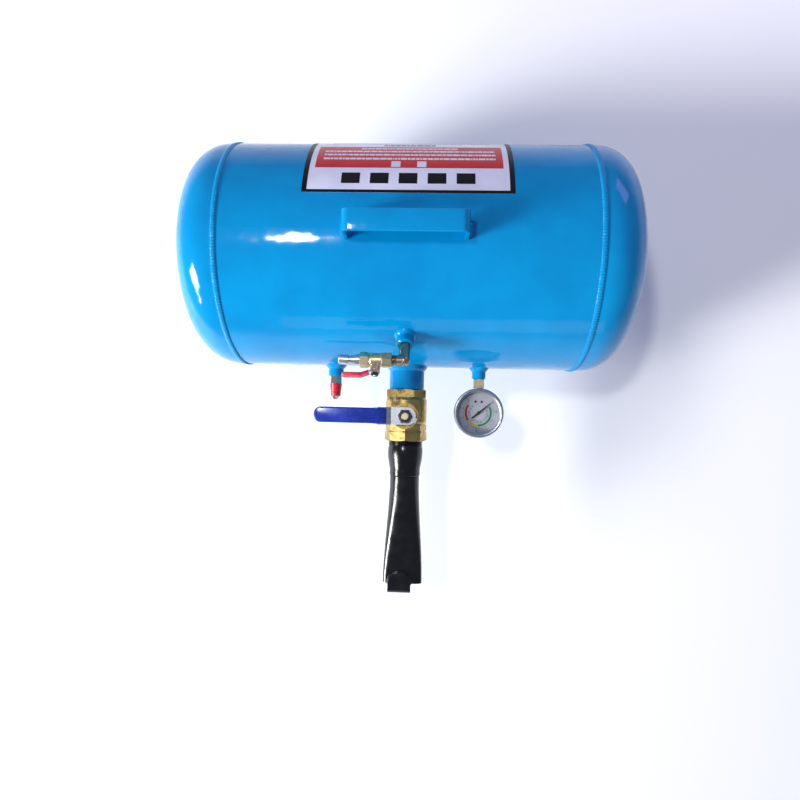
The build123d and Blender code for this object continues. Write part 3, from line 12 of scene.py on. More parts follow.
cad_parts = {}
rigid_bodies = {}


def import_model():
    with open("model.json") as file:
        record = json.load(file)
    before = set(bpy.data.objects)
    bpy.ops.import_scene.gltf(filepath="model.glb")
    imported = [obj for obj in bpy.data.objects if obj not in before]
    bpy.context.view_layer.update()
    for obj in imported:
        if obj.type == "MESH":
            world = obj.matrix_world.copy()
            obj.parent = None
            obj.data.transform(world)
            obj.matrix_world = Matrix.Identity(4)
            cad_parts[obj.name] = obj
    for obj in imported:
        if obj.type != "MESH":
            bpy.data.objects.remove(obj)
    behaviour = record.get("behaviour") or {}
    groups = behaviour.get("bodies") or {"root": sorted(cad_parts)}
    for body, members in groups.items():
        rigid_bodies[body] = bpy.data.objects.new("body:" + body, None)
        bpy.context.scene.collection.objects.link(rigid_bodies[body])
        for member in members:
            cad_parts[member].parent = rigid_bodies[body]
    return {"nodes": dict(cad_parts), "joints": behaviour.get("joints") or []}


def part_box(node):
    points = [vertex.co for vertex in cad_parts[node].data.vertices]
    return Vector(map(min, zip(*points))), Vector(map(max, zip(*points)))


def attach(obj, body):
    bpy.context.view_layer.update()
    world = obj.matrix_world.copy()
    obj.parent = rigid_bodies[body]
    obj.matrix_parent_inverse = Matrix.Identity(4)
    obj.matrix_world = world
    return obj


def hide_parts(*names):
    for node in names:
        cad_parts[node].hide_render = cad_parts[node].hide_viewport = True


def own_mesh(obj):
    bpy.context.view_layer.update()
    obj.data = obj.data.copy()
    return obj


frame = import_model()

# Looks of a portable air receiver tank that seats tyre beads. Metres. X runs along the tank's
# axis, -Y points along the outlet and +Z is up, as in the frame.

LOG = logging.getLogger("air_receiver_tank")
MM = 0.001
NODES = frame["nodes"]
TANK_BODY = "tank"
# Points nearer than MERGE are merged, and a piece's end is found to within NEAR.
MERGE = MM / 1000
NEAR = MM / 50
# Size of the plane that a line's first point is merged from.
SEED = MM / 10
# Turns up to this are shaded smooth on a ring or a ball.
ROUND_DEGREES = 60.0
# Octaves of detail in the three noises of a finish.
MOTTLE_DETAIL, GRAIN_DETAIL, SWELL_DETAIL = 4.0, 2.0, 1.0
# The sRGB curve: straight near black, a power above.
SRGB_KNEE, SRGB_SLOPE, SRGB_OFFSET, SRGB_POWER = 0.04045, 12.92, 0.055, 2.4
# Sockets of a colour Mix node: its two colours and its result.
MIX_FIRST, MIX_SECOND, MIX_RESULT = 6, 7, 2
# Values of a noise between which its colour, and its roughness, go from one end to the other.
COLOUR_SPAN = (0.35, 0.65)
ROUGHNESS_SPAN = (0.3, 0.7)


def linear(hex_colour: str) -> tuple[float, float, float, float]:
    """Turn an sRGB hex colour into the linear colour that shaders read.

    Args:
        hex_colour: Six hex digits after a hash.

    Returns:
        Linear red, green, blue and an alpha of one.
    """
    shares = [int(hex_colour[start:start + 2], 16) / 255 for start in (1, 3, 5)]
    red, green, blue = (
        share / SRGB_SLOPE if share <= SRGB_KNEE
        else ((share + SRGB_OFFSET) / (1 + SRGB_OFFSET)) ** SRGB_POWER
        for share in shares
    )
    return (red, green, blue, 1.0)


def joint_named(name: str) -> dict:
    """Find a joint of the frame by its name."""
    return next(joint for joint in frame["joints"] if joint["name"] == name)


def add_node(
    tree: bpy.types.NodeTree, kind: str, inputs: dict | None = None, **settings: object
) -> bpy.types.Node:
    """Add a shader node with its settings, values and links.

    Args:
        tree: Node tree of the material.
        kind: Type name of the node.
        inputs: Input socket to its value, or to the output socket that feeds it.
        settings: Properties of the node itself.

    Returns:
        The new node.
    """
    node = tree.nodes.new(kind)
    for name, value in settings.items():
        setattr(node, name, value)
    for socket, value in (inputs or {}).items():
        if isinstance(value, bpy.types.NodeSocket):
            tree.links.new(value, node.inputs[socket])
        else:
            node.inputs[socket].default_value = value
    return node


# ------------------------------------------------------------------ finishes
@dataclass(frozen=True)
class Finish:
    """A real material and how its surface was made.

    Three noises shape it: a mottling that varies colour and roughness, a fine grain that
    stands proud, and a slow swell that makes reflections waver. Sizes are in millimetres.
    """

    name: str
    colour: str
    second_colour: str
    roughness: tuple[float, float]
    mottle: float
    grain: float
    grain_height: float
    swell: float = 20.0
    swell_height: float = 0.0
    metallic: float = 0.0
    coat: float = 0.0
    coat_roughness: float = 0.05
    ior: float = 1.5
    alpha: float = 1.0

    def material(self) -> bpy.types.Material:
        """Build the material, or find the one already built.

        Returns:
            The material, shared by all that has this finish.
        """
        known = bpy.data.materials.get(self.name)
        if known:
            return known
        material = bpy.data.materials.new(self.name)
        material.use_nodes = True
        tree = material.node_tree
        shader = tree.nodes["Principled BSDF"]
        place = add_node(tree, "ShaderNodeTexCoord").outputs["Object"]
        mottle = add_node(tree, "ShaderNodeTexNoise", {
            "Vector": place, "Scale": 1 / (self.mottle * MM), "Detail": MOTTLE_DETAIL,
        }).outputs["Fac"]
        spread = add_node(tree, "ShaderNodeMapRange", {
            "Value": mottle, "From Min": COLOUR_SPAN[0], "From Max": COLOUR_SPAN[1],
        }).outputs["Result"]
        rough = add_node(tree, "ShaderNodeMapRange", {
            "Value": mottle, "From Min": ROUGHNESS_SPAN[0], "From Max": ROUGHNESS_SPAN[1],
            "To Min": self.roughness[0], "To Max": self.roughness[1],
        }).outputs["Result"]
        colour = add_node(tree, "ShaderNodeMix", data_type="RGBA")
        tree.links.new(spread, colour.inputs["Factor"])
        colour.inputs[MIX_FIRST].default_value = linear(self.colour)
        colour.inputs[MIX_SECOND].default_value = linear(self.second_colour)
        grain = add_node(tree, "ShaderNodeTexNoise", {
            "Vector": place, "Scale": 1 / (self.grain * MM), "Detail": GRAIN_DETAIL,
        }).outputs["Fac"]
        bump = add_node(tree, "ShaderNodeBump", {
            "Height": grain, "Distance": self.grain_height * MM,
        }).outputs["Normal"]
        if self.swell_height:
            swell = add_node(tree, "ShaderNodeTexNoise", {
                "Vector": place, "Scale": 1 / (self.swell * MM), "Detail": SWELL_DETAIL,
            }).outputs["Fac"]
            bump = add_node(tree, "ShaderNodeBump", {
                "Height": swell, "Distance": self.swell_height * MM, "Normal": bump,
            }).outputs["Normal"]
        tree.links.new(colour.outputs[MIX_RESULT], shader.inputs["Base Color"])
        tree.links.new(rough, shader.inputs["Roughness"])
        tree.links.new(bump, shader.inputs["Normal"])
        shader.inputs["Metallic"].default_value = self.metallic
        shader.inputs["Coat Weight"].default_value = self.coat
        shader.inputs["Coat Roughness"].default_value = self.coat_roughness
        shader.inputs["Alpha"].default_value = self.alpha
        if not self.metallic:
            shader.inputs["IOR"].default_value = self.ior
        return material


# Air-dried blue enamel, sprayed over rolled steel: orange peel under a glossy skin.
BLUE_ENAMEL = Finish(
    "Blue sprayed enamel", "#0388c2", "#037fb9", (0.05, 0.12), mottle=60.0, grain=4.5,
    grain_height=0.03, swell=26.0, swell_height=0.5, ior=1.33,
)
# Black enamel over welded pipe: deeper gloss, with runs and a little pipe scale under it.
BLACK_ENAMEL = Finish(
    "Black gloss enamel", "#060608", "#0c0c0f", (0.15, 0.28), mottle=14.0, grain=7.0,
    grain_height=0.05, swell=14.0, swell_height=0.22, ior=1.5,
)
# Hot-forged brass, shot-blasted and left bare: warm, satin, finely pitted.
FORGED_BRASS = Finish(
    "Forged brass", "#cbb072", "#b09254", (0.22, 0.40), mottle=9.0, grain=0.6,
    grain_height=0.03, swell=5.0, swell_height=0.08, metallic=1.0,
)
# Brass turned on a lathe: brighter than forged, with fine tool marks.
TURNED_BRASS = Finish(
    "Turned brass", "#c4b28a", "#a8935f", (0.14, 0.28), mottle=5.0, grain=0.35,
    grain_height=0.008, metallic=1.0,
)
# Brass plated pale, then tumbled: the small valve's body, and cut ends of bar.
PALE_BRASS = Finish(
    "Pale satin brass", "#e6d8b4", "#cbb98d", (0.28, 0.42), mottle=5.0, grain=0.4,
    grain_height=0.01, metallic=1.0,
)
# Steel blackened in a hot bath: the locking nuts.
BLACKENED_STEEL = Finish(
    "Blackened steel", "#5a5b61", "#47484e", (0.25, 0.4), mottle=3.0, grain=0.3,
    grain_height=0.01, metallic=1.0,
)
# Brass bar, machined long ago and gone dull: brown grey with a warm cast.
AGED_BRASS = Finish(
    "Aged brass", "#b3a48b", "#8f8068", (0.24, 0.4), mottle=4.0, grain=0.4,
    grain_height=0.012, metallic=1.0,
)
# Bright nickel over brass: pale and slightly warm.
NICKEL_PLATE = Finish(
    "Nickel plate", "#cfcac0", "#b4ab98", (0.12, 0.24), mottle=4.0, grain=0.3,
    grain_height=0.006, metallic=1.0,
)
# Blue-white zinc on pressed steel: a satin grey with a faint cloud.
ZINC_PLATE = Finish(
    "Bright zinc plate", "#d8dadf", "#bcbfc6", (0.26, 0.42), mottle=4.0, grain=0.4,
    grain_height=0.01, metallic=1.0,
)
# Stainless steel pressed and polished: the gauge's bezel.
STAINLESS = Finish(
    "Polished stainless steel", "#b4b5bd", "#999ba4", (0.30, 0.42), mottle=8.0, grain=0.4,
    grain_height=0.004, metallic=1.0,
)
# The same steel, only brushed: the case behind the bezel.
BRUSHED_STAINLESS = Finish(
    "Brushed stainless steel", "#b6b7be", "#9c9ea6", (0.36, 0.48), mottle=8.0, grain=0.4,
    grain_height=0.006, metallic=1.0,
)
# Blue PVC dip: soft gloss with a waxy bloom.
BLUE_VINYL = Finish(
    "Blue dipped PVC", "#102a92", "#1836a6", (0.20, 0.34), mottle=18.0, grain=1.6,
    grain_height=0.02, swell=14.0, swell_height=0.35, coat=0.35, coat_roughness=0.16,
)
RED_VINYL = Finish(
    "Red dipped PVC", "#c01530", "#d01c3c", (0.24, 0.36), mottle=9.0, grain=1.2,
    grain_height=0.02, coat=0.35, coat_roughness=0.16,
)
# Red moulded ABS cap of the relief valve.
RED_ABS = Finish(
    "Red moulded ABS", "#c8152b", "#d51f33", (0.22, 0.32), mottle=6.0, grain=0.8,
    grain_height=0.01, coat=0.2, coat_roughness=0.12,
)
PTFE = Finish(
    "PTFE", "#e9e9e4", "#dcdcd6", (0.40, 0.55), mottle=5.0, grain=0.6, grain_height=0.01,
)
NYLON = Finish(
    "Black nylon", "#141416", "#1d1d20", (0.35, 0.5), mottle=3.0, grain=0.4, grain_height=0.01,
)
NITRILE = Finish(
    "Nitrile rubber", "#161616", "#202020", (0.6, 0.8), mottle=3.0, grain=0.4,
    grain_height=0.02,
)
SPRING_STEEL = Finish(
    "Drawn spring steel", "#8f9196", "#77797e", (0.25, 0.4), mottle=2.0, grain=0.2,
    grain_height=0.004, metallic=1.0,
)
GLASS = Finish(
    "Window glass", "#0c1010", "#0e1212", (0.03, 0.06), mottle=20.0, grain=12.0,
    grain_height=0.001, alpha=0.10,
)
# Printed vinyl sheet, stuck on: a slightly lilac white with a satin film over the inks.
WHITE_FILM = Finish(
    "White printed vinyl", "#d9d9ec", "#cfcfe4", (0.30, 0.42), mottle=25.0, grain=1.5,
    grain_height=0.01, coat=0.3, coat_roughness=0.2,
)
BLACK_INK = Finish(
    "Black ink", "#050507", "#0a0a0d", (0.34, 0.46), mottle=10.0, grain=1.5, grain_height=0.01,
    ior=1.35,
)
RED_INK = Finish(
    "Red ink", "#c40f1e", "#b80c1a", (0.30, 0.42), mottle=14.0, grain=1.5, grain_height=0.01,
)
GREY_INK = Finish(
    "Grey ink", "#4c4c56", "#5a5a64", (0.30, 0.42), mottle=8.0, grain=1.5, grain_height=0.01,
)
# Aluminium dial, painted white and pad-printed.
DIAL_WHITE = Finish(
    "White dial paint", "#c6c6cf", "#b9bac4", (0.35, 0.48), mottle=12.0, grain=0.5,
    grain_height=0.004,
)
DIAL_BLACK = Finish(
    "Black dial ink", "#17171a", "#222226", (0.4, 0.5), mottle=4.0, grain=0.5,
    grain_height=0.002,
)
DIAL_GREEN = Finish(
    "Green dial ink", "#16915c", "#128352", (0.4, 0.5), mottle=4.0, grain=0.5,
    grain_height=0.002,
)
DIAL_YELLOW = Finish(
    "Yellow dial ink", "#e3d22b", "#d6c31f", (0.4, 0.5), mottle=4.0, grain=0.5,
    grain_height=0.002,
)
DIAL_RED = Finish(
    "Red dial ink", "#cf2740", "#c01f38", (0.4, 0.5), mottle=4.0, grain=0.5,
    grain_height=0.002,
)


def dress(node: str, finish: Finish) -> None:
    """Give a CAD node its finish.

    Args:
        node: The CAD node.
        finish: Finish that covers it.
    """
    materials = NODES[node].data.materials
    materials.clear()
    materials.append(finish.material())


def settle(piece: bpy.types.Object, finish: Finish, body: str) -> bpy.types.Object:
    """Give a new piece its finish and body, and report it.

    Args:
        piece: The finished piece.
        finish: Finish that covers it.
        body: CAD body that it rides on.

    Returns:
        The same piece.
    """
    piece.data.materials.clear()
    piece.data.materials.append(finish.material())
    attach(piece, body)
    LOG.info("built %s, %d faces", piece.name, len(piece.data.polygons))
    return piece


# ------------------------------------------------------------------ modelling
class Bench:
    """One new mesh in edit mode, and the few steps that its pieces are made with."""

    # An open end with more sides than this stays open.
    most_sides: int = 16

    def __init__(self, name: str) -> None:
        """Start an empty mesh at the origin.

        Args:
            name: Name of the piece.
        """
        bpy.ops.object.select_all(action="DESELECT")
        bpy.ops.mesh.primitive_plane_add(size=MM)
        self.piece = bpy.context.object
        self.piece.name = name
        bpy.ops.object.mode_set(mode="EDIT")
        bpy.ops.mesh.delete(type="VERT")

    def line(self, points: list[Vector]) -> None:
        """Draw a line of edges and leave all of it selected.

        Args:
            points: Its corners. A closed outline repeats the first one.
        """
        bpy.ops.mesh.select_all(action="DESELECT")
        bpy.ops.mesh.primitive_plane_add(size=SEED, location=points[0])
        bpy.ops.mesh.merge(type="CENTER")
        for here, there in zip(points, points[1:]):
            bpy.ops.mesh.extrude_region_move(
                TRANSFORM_OT_translate={"value": Vector(there) - Vector(here)}
            )
        bpy.ops.mesh.select_linked()

    def spin(self, centre: Vector, axis: Vector, degrees: float, steps: int) -> None:
        """Sweep what is selected about an axis, by the right-hand rule.

        Args:
            centre: A point on the axis.
            axis: Its direction.
            degrees: How far it turns.
            steps: Segments of the sweep.
        """
        bpy.ops.mesh.spin(
            steps=steps, angle=-math.radians(degrees), center=centre, axis=axis
        )

    def pick(self, kind: str, test: Callable[[Vector], bool]) -> None:
        """Select the vertices, edges or faces whose middle passes a test.

        Args:
            kind: VERT, EDGE or FACE.
            test: Takes the middle of one and says whether to select it.
        """
        bpy.ops.mesh.select_mode(type=kind)
        bpy.ops.mesh.select_all(action="DESELECT")
        mesh = bmesh.from_edit_mesh(self.piece.data)
        items = {"VERT": mesh.verts, "EDGE": mesh.edges, "FACE": mesh.faces}[kind]
        for item in items:
            corners = [item] if kind == "VERT" else item.verts
            middle = sum((corner.co for corner in corners), Vector()) / len(corners)
            if test(middle):
                item.select_set(True)
        mesh.select_flush_mode()
        bmesh.update_edit_mesh(self.piece.data)

    def finish(self, smooth_degrees: float = 35.0) -> bpy.types.Object:
        """Close open ends, turn faces outwards and leave edit mode.

        Args:
            smooth_degrees: Sharpest turn that is still shaded smooth.

        Returns:
            The piece, in object mode.
        """
        bpy.ops.mesh.select_mode(type="VERT")
        bpy.ops.mesh.select_all(action="SELECT")
        bpy.ops.mesh.remove_doubles(threshold=MERGE)
        bpy.ops.mesh.select_all(action="SELECT")
        bpy.ops.mesh.fill_holes(sides=self.most_sides)
        bpy.ops.mesh.select_all(action="SELECT")
        bpy.ops.mesh.normals_make_consistent(inside=False)
        bpy.ops.object.mode_set(mode="OBJECT")
        bpy.ops.object.shade_smooth_by_angle(angle=math.radians(smooth_degrees))
        return self.piece


def choose(piece: bpy.types.Object) -> None:
    """Select one piece alone and make it the active one.

    Args:
        piece: The piece.
    """
    bpy.ops.object.select_all(action="DESELECT")
    piece.select_set(True)
    bpy.context.view_layer.objects.active = piece


def apply_modifier(piece: bpy.types.Object, kind: str, **settings: object) -> None:
    """Add one modifier to a piece and apply it.

    Args:
        piece: The piece.
        kind: Type name of the modifier.
        settings: Its properties.
    """
    choose(piece)
    modifier = piece.modifiers.new(kind.title(), kind)
    for name, value in settings.items():
        setattr(modifier, name, value)
    bpy.ops.object.modifier_apply(modifier=modifier.name)


def set_place(piece: bpy.types.Object) -> None:
    """Move a piece's place, turn and scale into its mesh."""
    choose(piece)
    bpy.ops.object.transform_apply(location=True, rotation=True, scale=True)


def joined(pieces: list[bpy.types.Object], name: str) -> bpy.types.Object:
    """Join pieces into one mesh.

    Args:
        pieces: Two or more pieces.
        name: Name of the joined piece.

    Returns:
        The first piece, which now holds all of them.
    """
    choose(pieces[0])
    for piece in pieces:
        piece.select_set(True)
    bpy.ops.object.join()
    pieces[0].name = name
    return pieces[0]


def copied(node: str, name: str) -> bpy.types.Object:
    """Copy a CAD node's mesh as a new, merged piece that stands for it.

    Args:
        node: The CAD node.
        name: Name of the new piece.

    Returns:
        The piece, selected and active.
    """
    flat_degrees = 0.5
    piece = bpy.data.objects.new(name, NODES[node].data.copy())
    bpy.context.scene.collection.objects.link(piece)
    choose(piece)
    bpy.ops.object.mode_set(mode="EDIT")
    bpy.ops.mesh.select_all(action="SELECT")
    bpy.ops.mesh.remove_doubles(threshold=MERGE)
    bpy.ops.mesh.dissolve_limited(angle_limit=math.radians(flat_degrees))
    bpy.ops.object.mode_set(mode="OBJECT")
    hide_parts(node)
    return piece


@dataclass(frozen=True)
class EasedPiece:
    """A CAD node whose sharp edges are rounded, as pressing, filing and paint leave them."""

    node: str
    name: str
    rounding: float
    finish: Finish
    slot: str
    segments: int = 3
    sharp_degrees: float = 50.0
    smooth_degrees: float = 40.0

    def build(self) -> bpy.types.Object:
        """Copy the node, round its edges and dress it.

        Returns:
            The piece, in place of the plain node.
        """
        piece = copied(self.node, self.name)
        apply_modifier(
            piece, "BEVEL", width=self.rounding, segments=self.segments, limit_method="ANGLE",
            angle_limit=math.radians(self.sharp_degrees),
        )
        bpy.ops.object.shade_smooth_by_angle(angle=math.radians(self.smooth_degrees))
        return settle(piece, self.finish, TANK_BODY)


# ------------------------------------------------------------------ vessel
SHELL_LOW, SHELL_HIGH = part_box("shell")
TANK_RADIUS = (SHELL_HIGH.z - SHELL_LOW.z) / 2
TANK_AXIS = (SHELL_LOW + SHELL_HIGH) / 2


@dataclass
class Vessel:
    """Shell, heads, feet, handle and bosses, with the ripples of their welds."""

    ripple_pitch: float = 3.6 * MM
    ripple_tilt: float = 0.25
    ripple_height: float = 1.5 * MM
    ripple_reach: float = 0.8
    ripple_segments: int = 10
    ripple_rings: int = 6
    strap_rounding: float = 0.9 * MM
    straps: tuple[tuple[str, str], ...] = (
        ("handle", "carry_handle"), ("foot_left", "left_foot"), ("foot_right", "right_foot"),
    )
    painted: tuple[str, ...] = (
        "shell", "head_left", "head_right", "handle_welds", "foot_welds", "boss_welds",
        "outlet_pipe", "inlet_boss", "safety_boss", "gauge_boss", "drain_boss",
        "weld_bead_left", "weld_bead_right",
    )

    def dress(self) -> None:
        """Paint the welded pieces and plate the drain plug."""
        for node in self.painted:
            dress(node, BLUE_ENAMEL)
        dress("drain_plug", ZINC_PLATE)

    def weld_band(self, side: str) -> bpy.types.Object:
        """Build overlapping weld ripples around one joint between shell and head.

        Args:
            side: left or right.

        Returns:
            The band, in place of the plain bead.
        """
        low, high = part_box(f"weld_bead_{side}")
        half_width = (high.x - low.x) / 2
        middle = Vector(((low.x + high.x) / 2, TANK_AXIS.y, TANK_AXIS.z))
        count = round(2 * math.pi * TANK_RADIUS / self.ripple_pitch)
        bench = Bench(f"weld_band_{side}")
        bpy.ops.mesh.primitive_uv_sphere_add(
            segments=self.ripple_segments, ring_count=self.ripple_rings, radius=1.0,
            location=middle + Vector((0, 0, TANK_RADIUS)),
            scale=(half_width, self.ripple_pitch * self.ripple_reach, self.ripple_height),
            rotation=(self.ripple_tilt, 0, 0),
        )
        ripple = bench.finish(ROUND_DEGREES)
        bpy.ops.object.empty_add(location=(0, 0, 0))
        turn = bpy.context.object
        angle = Matrix.Rotation(2 * math.pi / count, 4, "X")
        turn.matrix_world = Matrix.Translation(middle) @ angle @ Matrix.Translation(-middle)
        bpy.context.view_layer.update()
        apply_modifier(
            ripple, "ARRAY", count=count, use_relative_offset=False, use_object_offset=True,
            offset_object=turn,
        )
        bpy.data.objects.remove(turn)
        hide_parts(f"weld_bead_{side}")
        return settle(ripple, BLUE_ENAMEL, TANK_BODY)

    def build(self) -> None:
        """Dress the vessel and build its weld bands, handle and feet."""
        self.dress()
        for side in ("left", "right"):
            self.weld_band(side)
        for node, name in self.straps:
            EasedPiece(node, name, self.strap_rounding, BLUE_ENAMEL, "tank_paint").build()


# ------------------------------------------------------------------ label
@dataclass
class PrintedLabel:
    """Vinyl sheet behind the handle, with plain blocks and bars where it had lettering.

    Angles are in degrees behind the top of the tank, and lengths are along the tank. A pair of
    angles is where a row starts and ends. Three of them are the first row's start, the pitch
    of the rows and their height. A dash is its least length, its growth a step and its gap.
    """

    start: float = 17.0
    end: float = 81.9
    half_width: float = 125.0 * MM
    side_border: float = 6.0 * MM
    low_border: float = 1.5
    ink: float = 0.05 * MM
    degrees_a_step: float = 1.6
    panel_half_width: float = 112.5 * MM
    panel: tuple[float, float] = (31.8, 53.0)
    blocks: int = 5
    block_pitch: float = 34.0 * MM
    block_width: float = 22.0 * MM
    block: tuple[float, float] = (22.0, 28.4)
    square: tuple[float, float] = (32.5, 36.8)
    square_reach: tuple[float, float] = (10.0 * MM, 21.0 * MM)
    dash: tuple[float, float, float] = (1.6 * MM, 0.45 * MM, 0.9 * MM)
    white_rows: tuple[float, float, float] = (38.2, 3.7, 1.5)
    white_reaches: tuple[float, ...] = (104.0 * MM, 104.0 * MM, 104.0 * MM, 60.0 * MM)
    header: tuple[float, float] = (54.6, 58.0)
    header_reach: float = 33.0 * MM
    grey_rows: tuple[float, float, float] = (61.0, 3.4, 1.8)
    grey_reaches: tuple[float, ...] = (100.0 * MM,) * 5

    def __post_init__(self) -> None:
        """Find the radius of the sheet's face."""
        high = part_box("label")[1]
        self.radius = (high.z - TANK_AXIS.z) / math.cos(math.radians(self.start))

    def patch(
        self, bench: Bench, x_low: float, x_high: float, start: float, end: float, layer: int
    ) -> None:
        """Add one printed patch that follows the curve.

        Args:
            bench: Mesh that it is added to.
            x_low: Its low end along the tank.
            x_high: Its high end along the tank.
            start: Its lower edge.
            end: Its upper edge.
            layer: Layers of ink up to its face.
        """
        tilt = math.radians(start)
        out = Vector((0, math.sin(tilt), math.cos(tilt)))
        floor = TANK_AXIS + out * (self.radius - self.ink)
        face = TANK_AXIS + out * (self.radius + layer * self.ink)
        corners = [
            Vector((x_low, floor.y, floor.z)), Vector((x_high, floor.y, floor.z)),
            Vector((x_high, face.y, face.z)), Vector((x_low, face.y, face.z)),
            Vector((x_low, floor.y, floor.z)),
        ]
        bench.line(corners)
        steps = max(1, round((end - start) / self.degrees_a_step))
        bench.spin(TANK_AXIS, Vector((1, 0, 0)), -(end - start), steps)

    def printed(
        self, name: str, finish: Finish, patches: list[tuple[float, ...]], layer: int = 1
    ) -> None:
        """Build one ink's patches as one piece.

        Args:
            name: Name of the piece.
            finish: Its ink.
            patches: Low end, high end, start and end of each patch.
            layer: Layers of ink up to its face.
        """
        bench = Bench(name)
        for x_low, x_high, start, end in patches:
            self.patch(bench, x_low, x_high, start, end, layer)
        settle(bench.finish(), finish, TANK_BODY)

    def border(self) -> list[tuple[float, ...]]:
        """Lay out the black frame around the sheet.

        Returns:
            One patch for each side.
        """
        wide, side = self.half_width, self.side_border
        return [
            (-wide, wide, self.start, self.start + self.low_border),
            (-wide, wide, self.end - self.low_border, self.end),
            (-wide, side - wide, self.start + self.low_border, self.end - self.low_border),
            (wide - side, wide, self.start + self.low_border, self.end - self.low_border),
        ]

    def words(
        self, row: tuple[float, float], reach: float, seed: int
    ) -> list[tuple[float, ...]]:
        """Lay out short dashes along one row, in place of a line of small print.

        Args:
            row: Start and end of the row.
            reach: How far it goes to each side of the middle.
            seed: Chooses the rhythm of the dashes.

        Returns:
            One patch for each dash.
        """
        least, growth, gap = self.dash
        dashes = []
        place = -reach
        step = seed
        while place < reach:
            step = (step * 5 + 3) % 16  # goes through all sixteen steps in a mixed order
            width = least + step * growth
            dashes.append((place, min(place + width, reach), *row))
            place += width + gap
        return dashes

    def rows(
        self, layout: tuple[float, float, float], reaches: tuple[float, ...], seed: int
    ) -> list[tuple[float, ...]]:
        """Lay out rows of dashes, one above the other.

        Args:
            layout: Start of the first row, pitch of the rows and height of a row.
            reaches: How far each row goes to each side of the middle.
            seed: Chooses the first row's rhythm; each next row has the next one.

        Returns:
            One patch for each dash.
        """
        start, pitch, height = layout
        dashes = []
        for index, reach in enumerate(reaches):
            low = start + index * pitch
            dashes += self.words((low, low + height), reach, seed + index)
        return dashes

    def build(self) -> None:
        """Dress the sheet and print it."""
        dress("label", WHITE_FILM)
        self.printed("label_border", BLACK_INK, self.border())
        self.printed(
            "label_panel", RED_INK,
            [(-self.panel_half_width, self.panel_half_width, *self.panel)],
        )
        half = self.block_width / 2
        middles = [(index - self.blocks // 2) * self.block_pitch for index in range(self.blocks)]
        self.printed(
            "label_black_blocks", BLACK_INK,
            [(middle - half, middle + half, *self.block) for middle in middles],
        )
        near, far = self.square_reach
        squares = [(-far, -near, *self.square), (near, far, *self.square)]
        white_marks = squares + self.rows(self.white_rows, self.white_reaches, seed=2)
        self.printed("label_white_marks", WHITE_FILM, white_marks, layer=2)
        grey_marks = self.words(self.header, self.header_reach, seed=7)
        grey_marks += self.rows(self.grey_rows, self.grey_reaches, seed=4)
        self.printed("label_grey_marks", GREY_INK, grey_marks)


# ------------------------------------------------------------------ quarter-turn valves
@dataclass
class LeverSleeve:
    """Dipped sleeve of a strip lever, in the frame of the lever's hub."""

    name: str
    node: str
    joint: str
    body: str
    slot: str
    stem_sign: float
    path: list[tuple[float, float]]
    half_width: float
    half_height: float
    edge: float
    finish: Finish
    tip_share: float = 0.88
    tip_segments: int = 8
    edge_segments: int = 4
    sharp_degrees: float = 60.0
    smooth_degrees: float = 50.0
    wall_share: float = 0.35
    mouth_share: float = 1.2

    def place(self) -> Matrix:
        """Find the frame of the hub.

        Returns:
            Its place, with X along the lever at rest and Z along the stem.
        """
        joint = joint_named(self.joint)
        up = Vector(joint["axis"]) * self.stem_sign
        along = Vector((-1, 0, 0))
        across = up.cross(along)
        turn = Matrix((along, across, up)).transposed().to_4x4()
        return Matrix.Translation(Vector(joint["pos_m"])) @ turn

    def build(self) -> bpy.types.Object:
        """Extrude the sleeve along its path, round it off and open its mouth.

        Returns:
            The sleeve, in place of the plain node.
        """
        bench = Bench(self.name)
        start, height = self.path[0]
        bpy.ops.mesh.primitive_cube_add(
            size=1.0, location=(start + self.edge / 4, 0, height),
            scale=(self.edge / 2, 2 * self.half_width, 2 * self.half_height),
        )
        here = start + self.edge / 2
        for there, level in self.path[1:]:
            front = here - NEAR
            bench.pick("FACE", lambda middle: middle.x > front)
            bpy.ops.mesh.extrude_region_move(
                TRANSFORM_OT_translate={"value": (there - here, 0, level - height)}
            )
            here, height = there, level
        front = here - NEAR
        bench.pick("EDGE", lambda middle: middle.x > front and abs(middle.y) > MM)
        bpy.ops.mesh.bevel(offset=self.half_width * self.tip_share, segments=self.tip_segments)
        bpy.ops.mesh.select_all(action="DESELECT")
        bpy.ops.mesh.select_mode(type="EDGE")
        bpy.ops.mesh.edges_select_sharp(sharpness=math.radians(self.sharp_degrees))
        bpy.ops.mesh.bevel(offset=self.edge, segments=self.edge_segments)
        bench.pick("FACE", lambda middle: middle.x < start + NEAR)
        bpy.ops.mesh.inset(thickness=self.edge * self.wall_share)
        bpy.ops.mesh.extrude_region_move(
            TRANSFORM_OT_translate={"value": (self.edge * self.mouth_share, 0, 0)}
        )
        sleeve = bench.finish(self.smooth_degrees)
        sleeve.matrix_world = self.place()
        set_place(sleeve)
        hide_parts(self.node)
        return settle(sleeve, self.finish, self.body)


def dress_valve(prefix: str, casting: Finish, plate: Finish) -> None:
    """Give one ball valve's CAD nodes their finishes.

    Args:
        prefix: First word of its nodes.
        casting: Finish of the body and cap.
        plate: Finish of the lever.
    """
    for node in ("valve_body", "valve_cap"):
        dress(f"{prefix}_{node}", casting)
    for node in ("valve_stem", "gland"):
        dress(f"{prefix}_{node}", PALE_BRASS)
    for node in ("valve_seats", "stem_packing"):
        dress(f"{prefix}_{node}", PTFE)
    dress(f"{prefix}_valve_ball", STAINLESS)
    dress(f"{prefix}_lever", plate)
    dress(f"{prefix}_lever_nut", BLACKENED_STEEL)


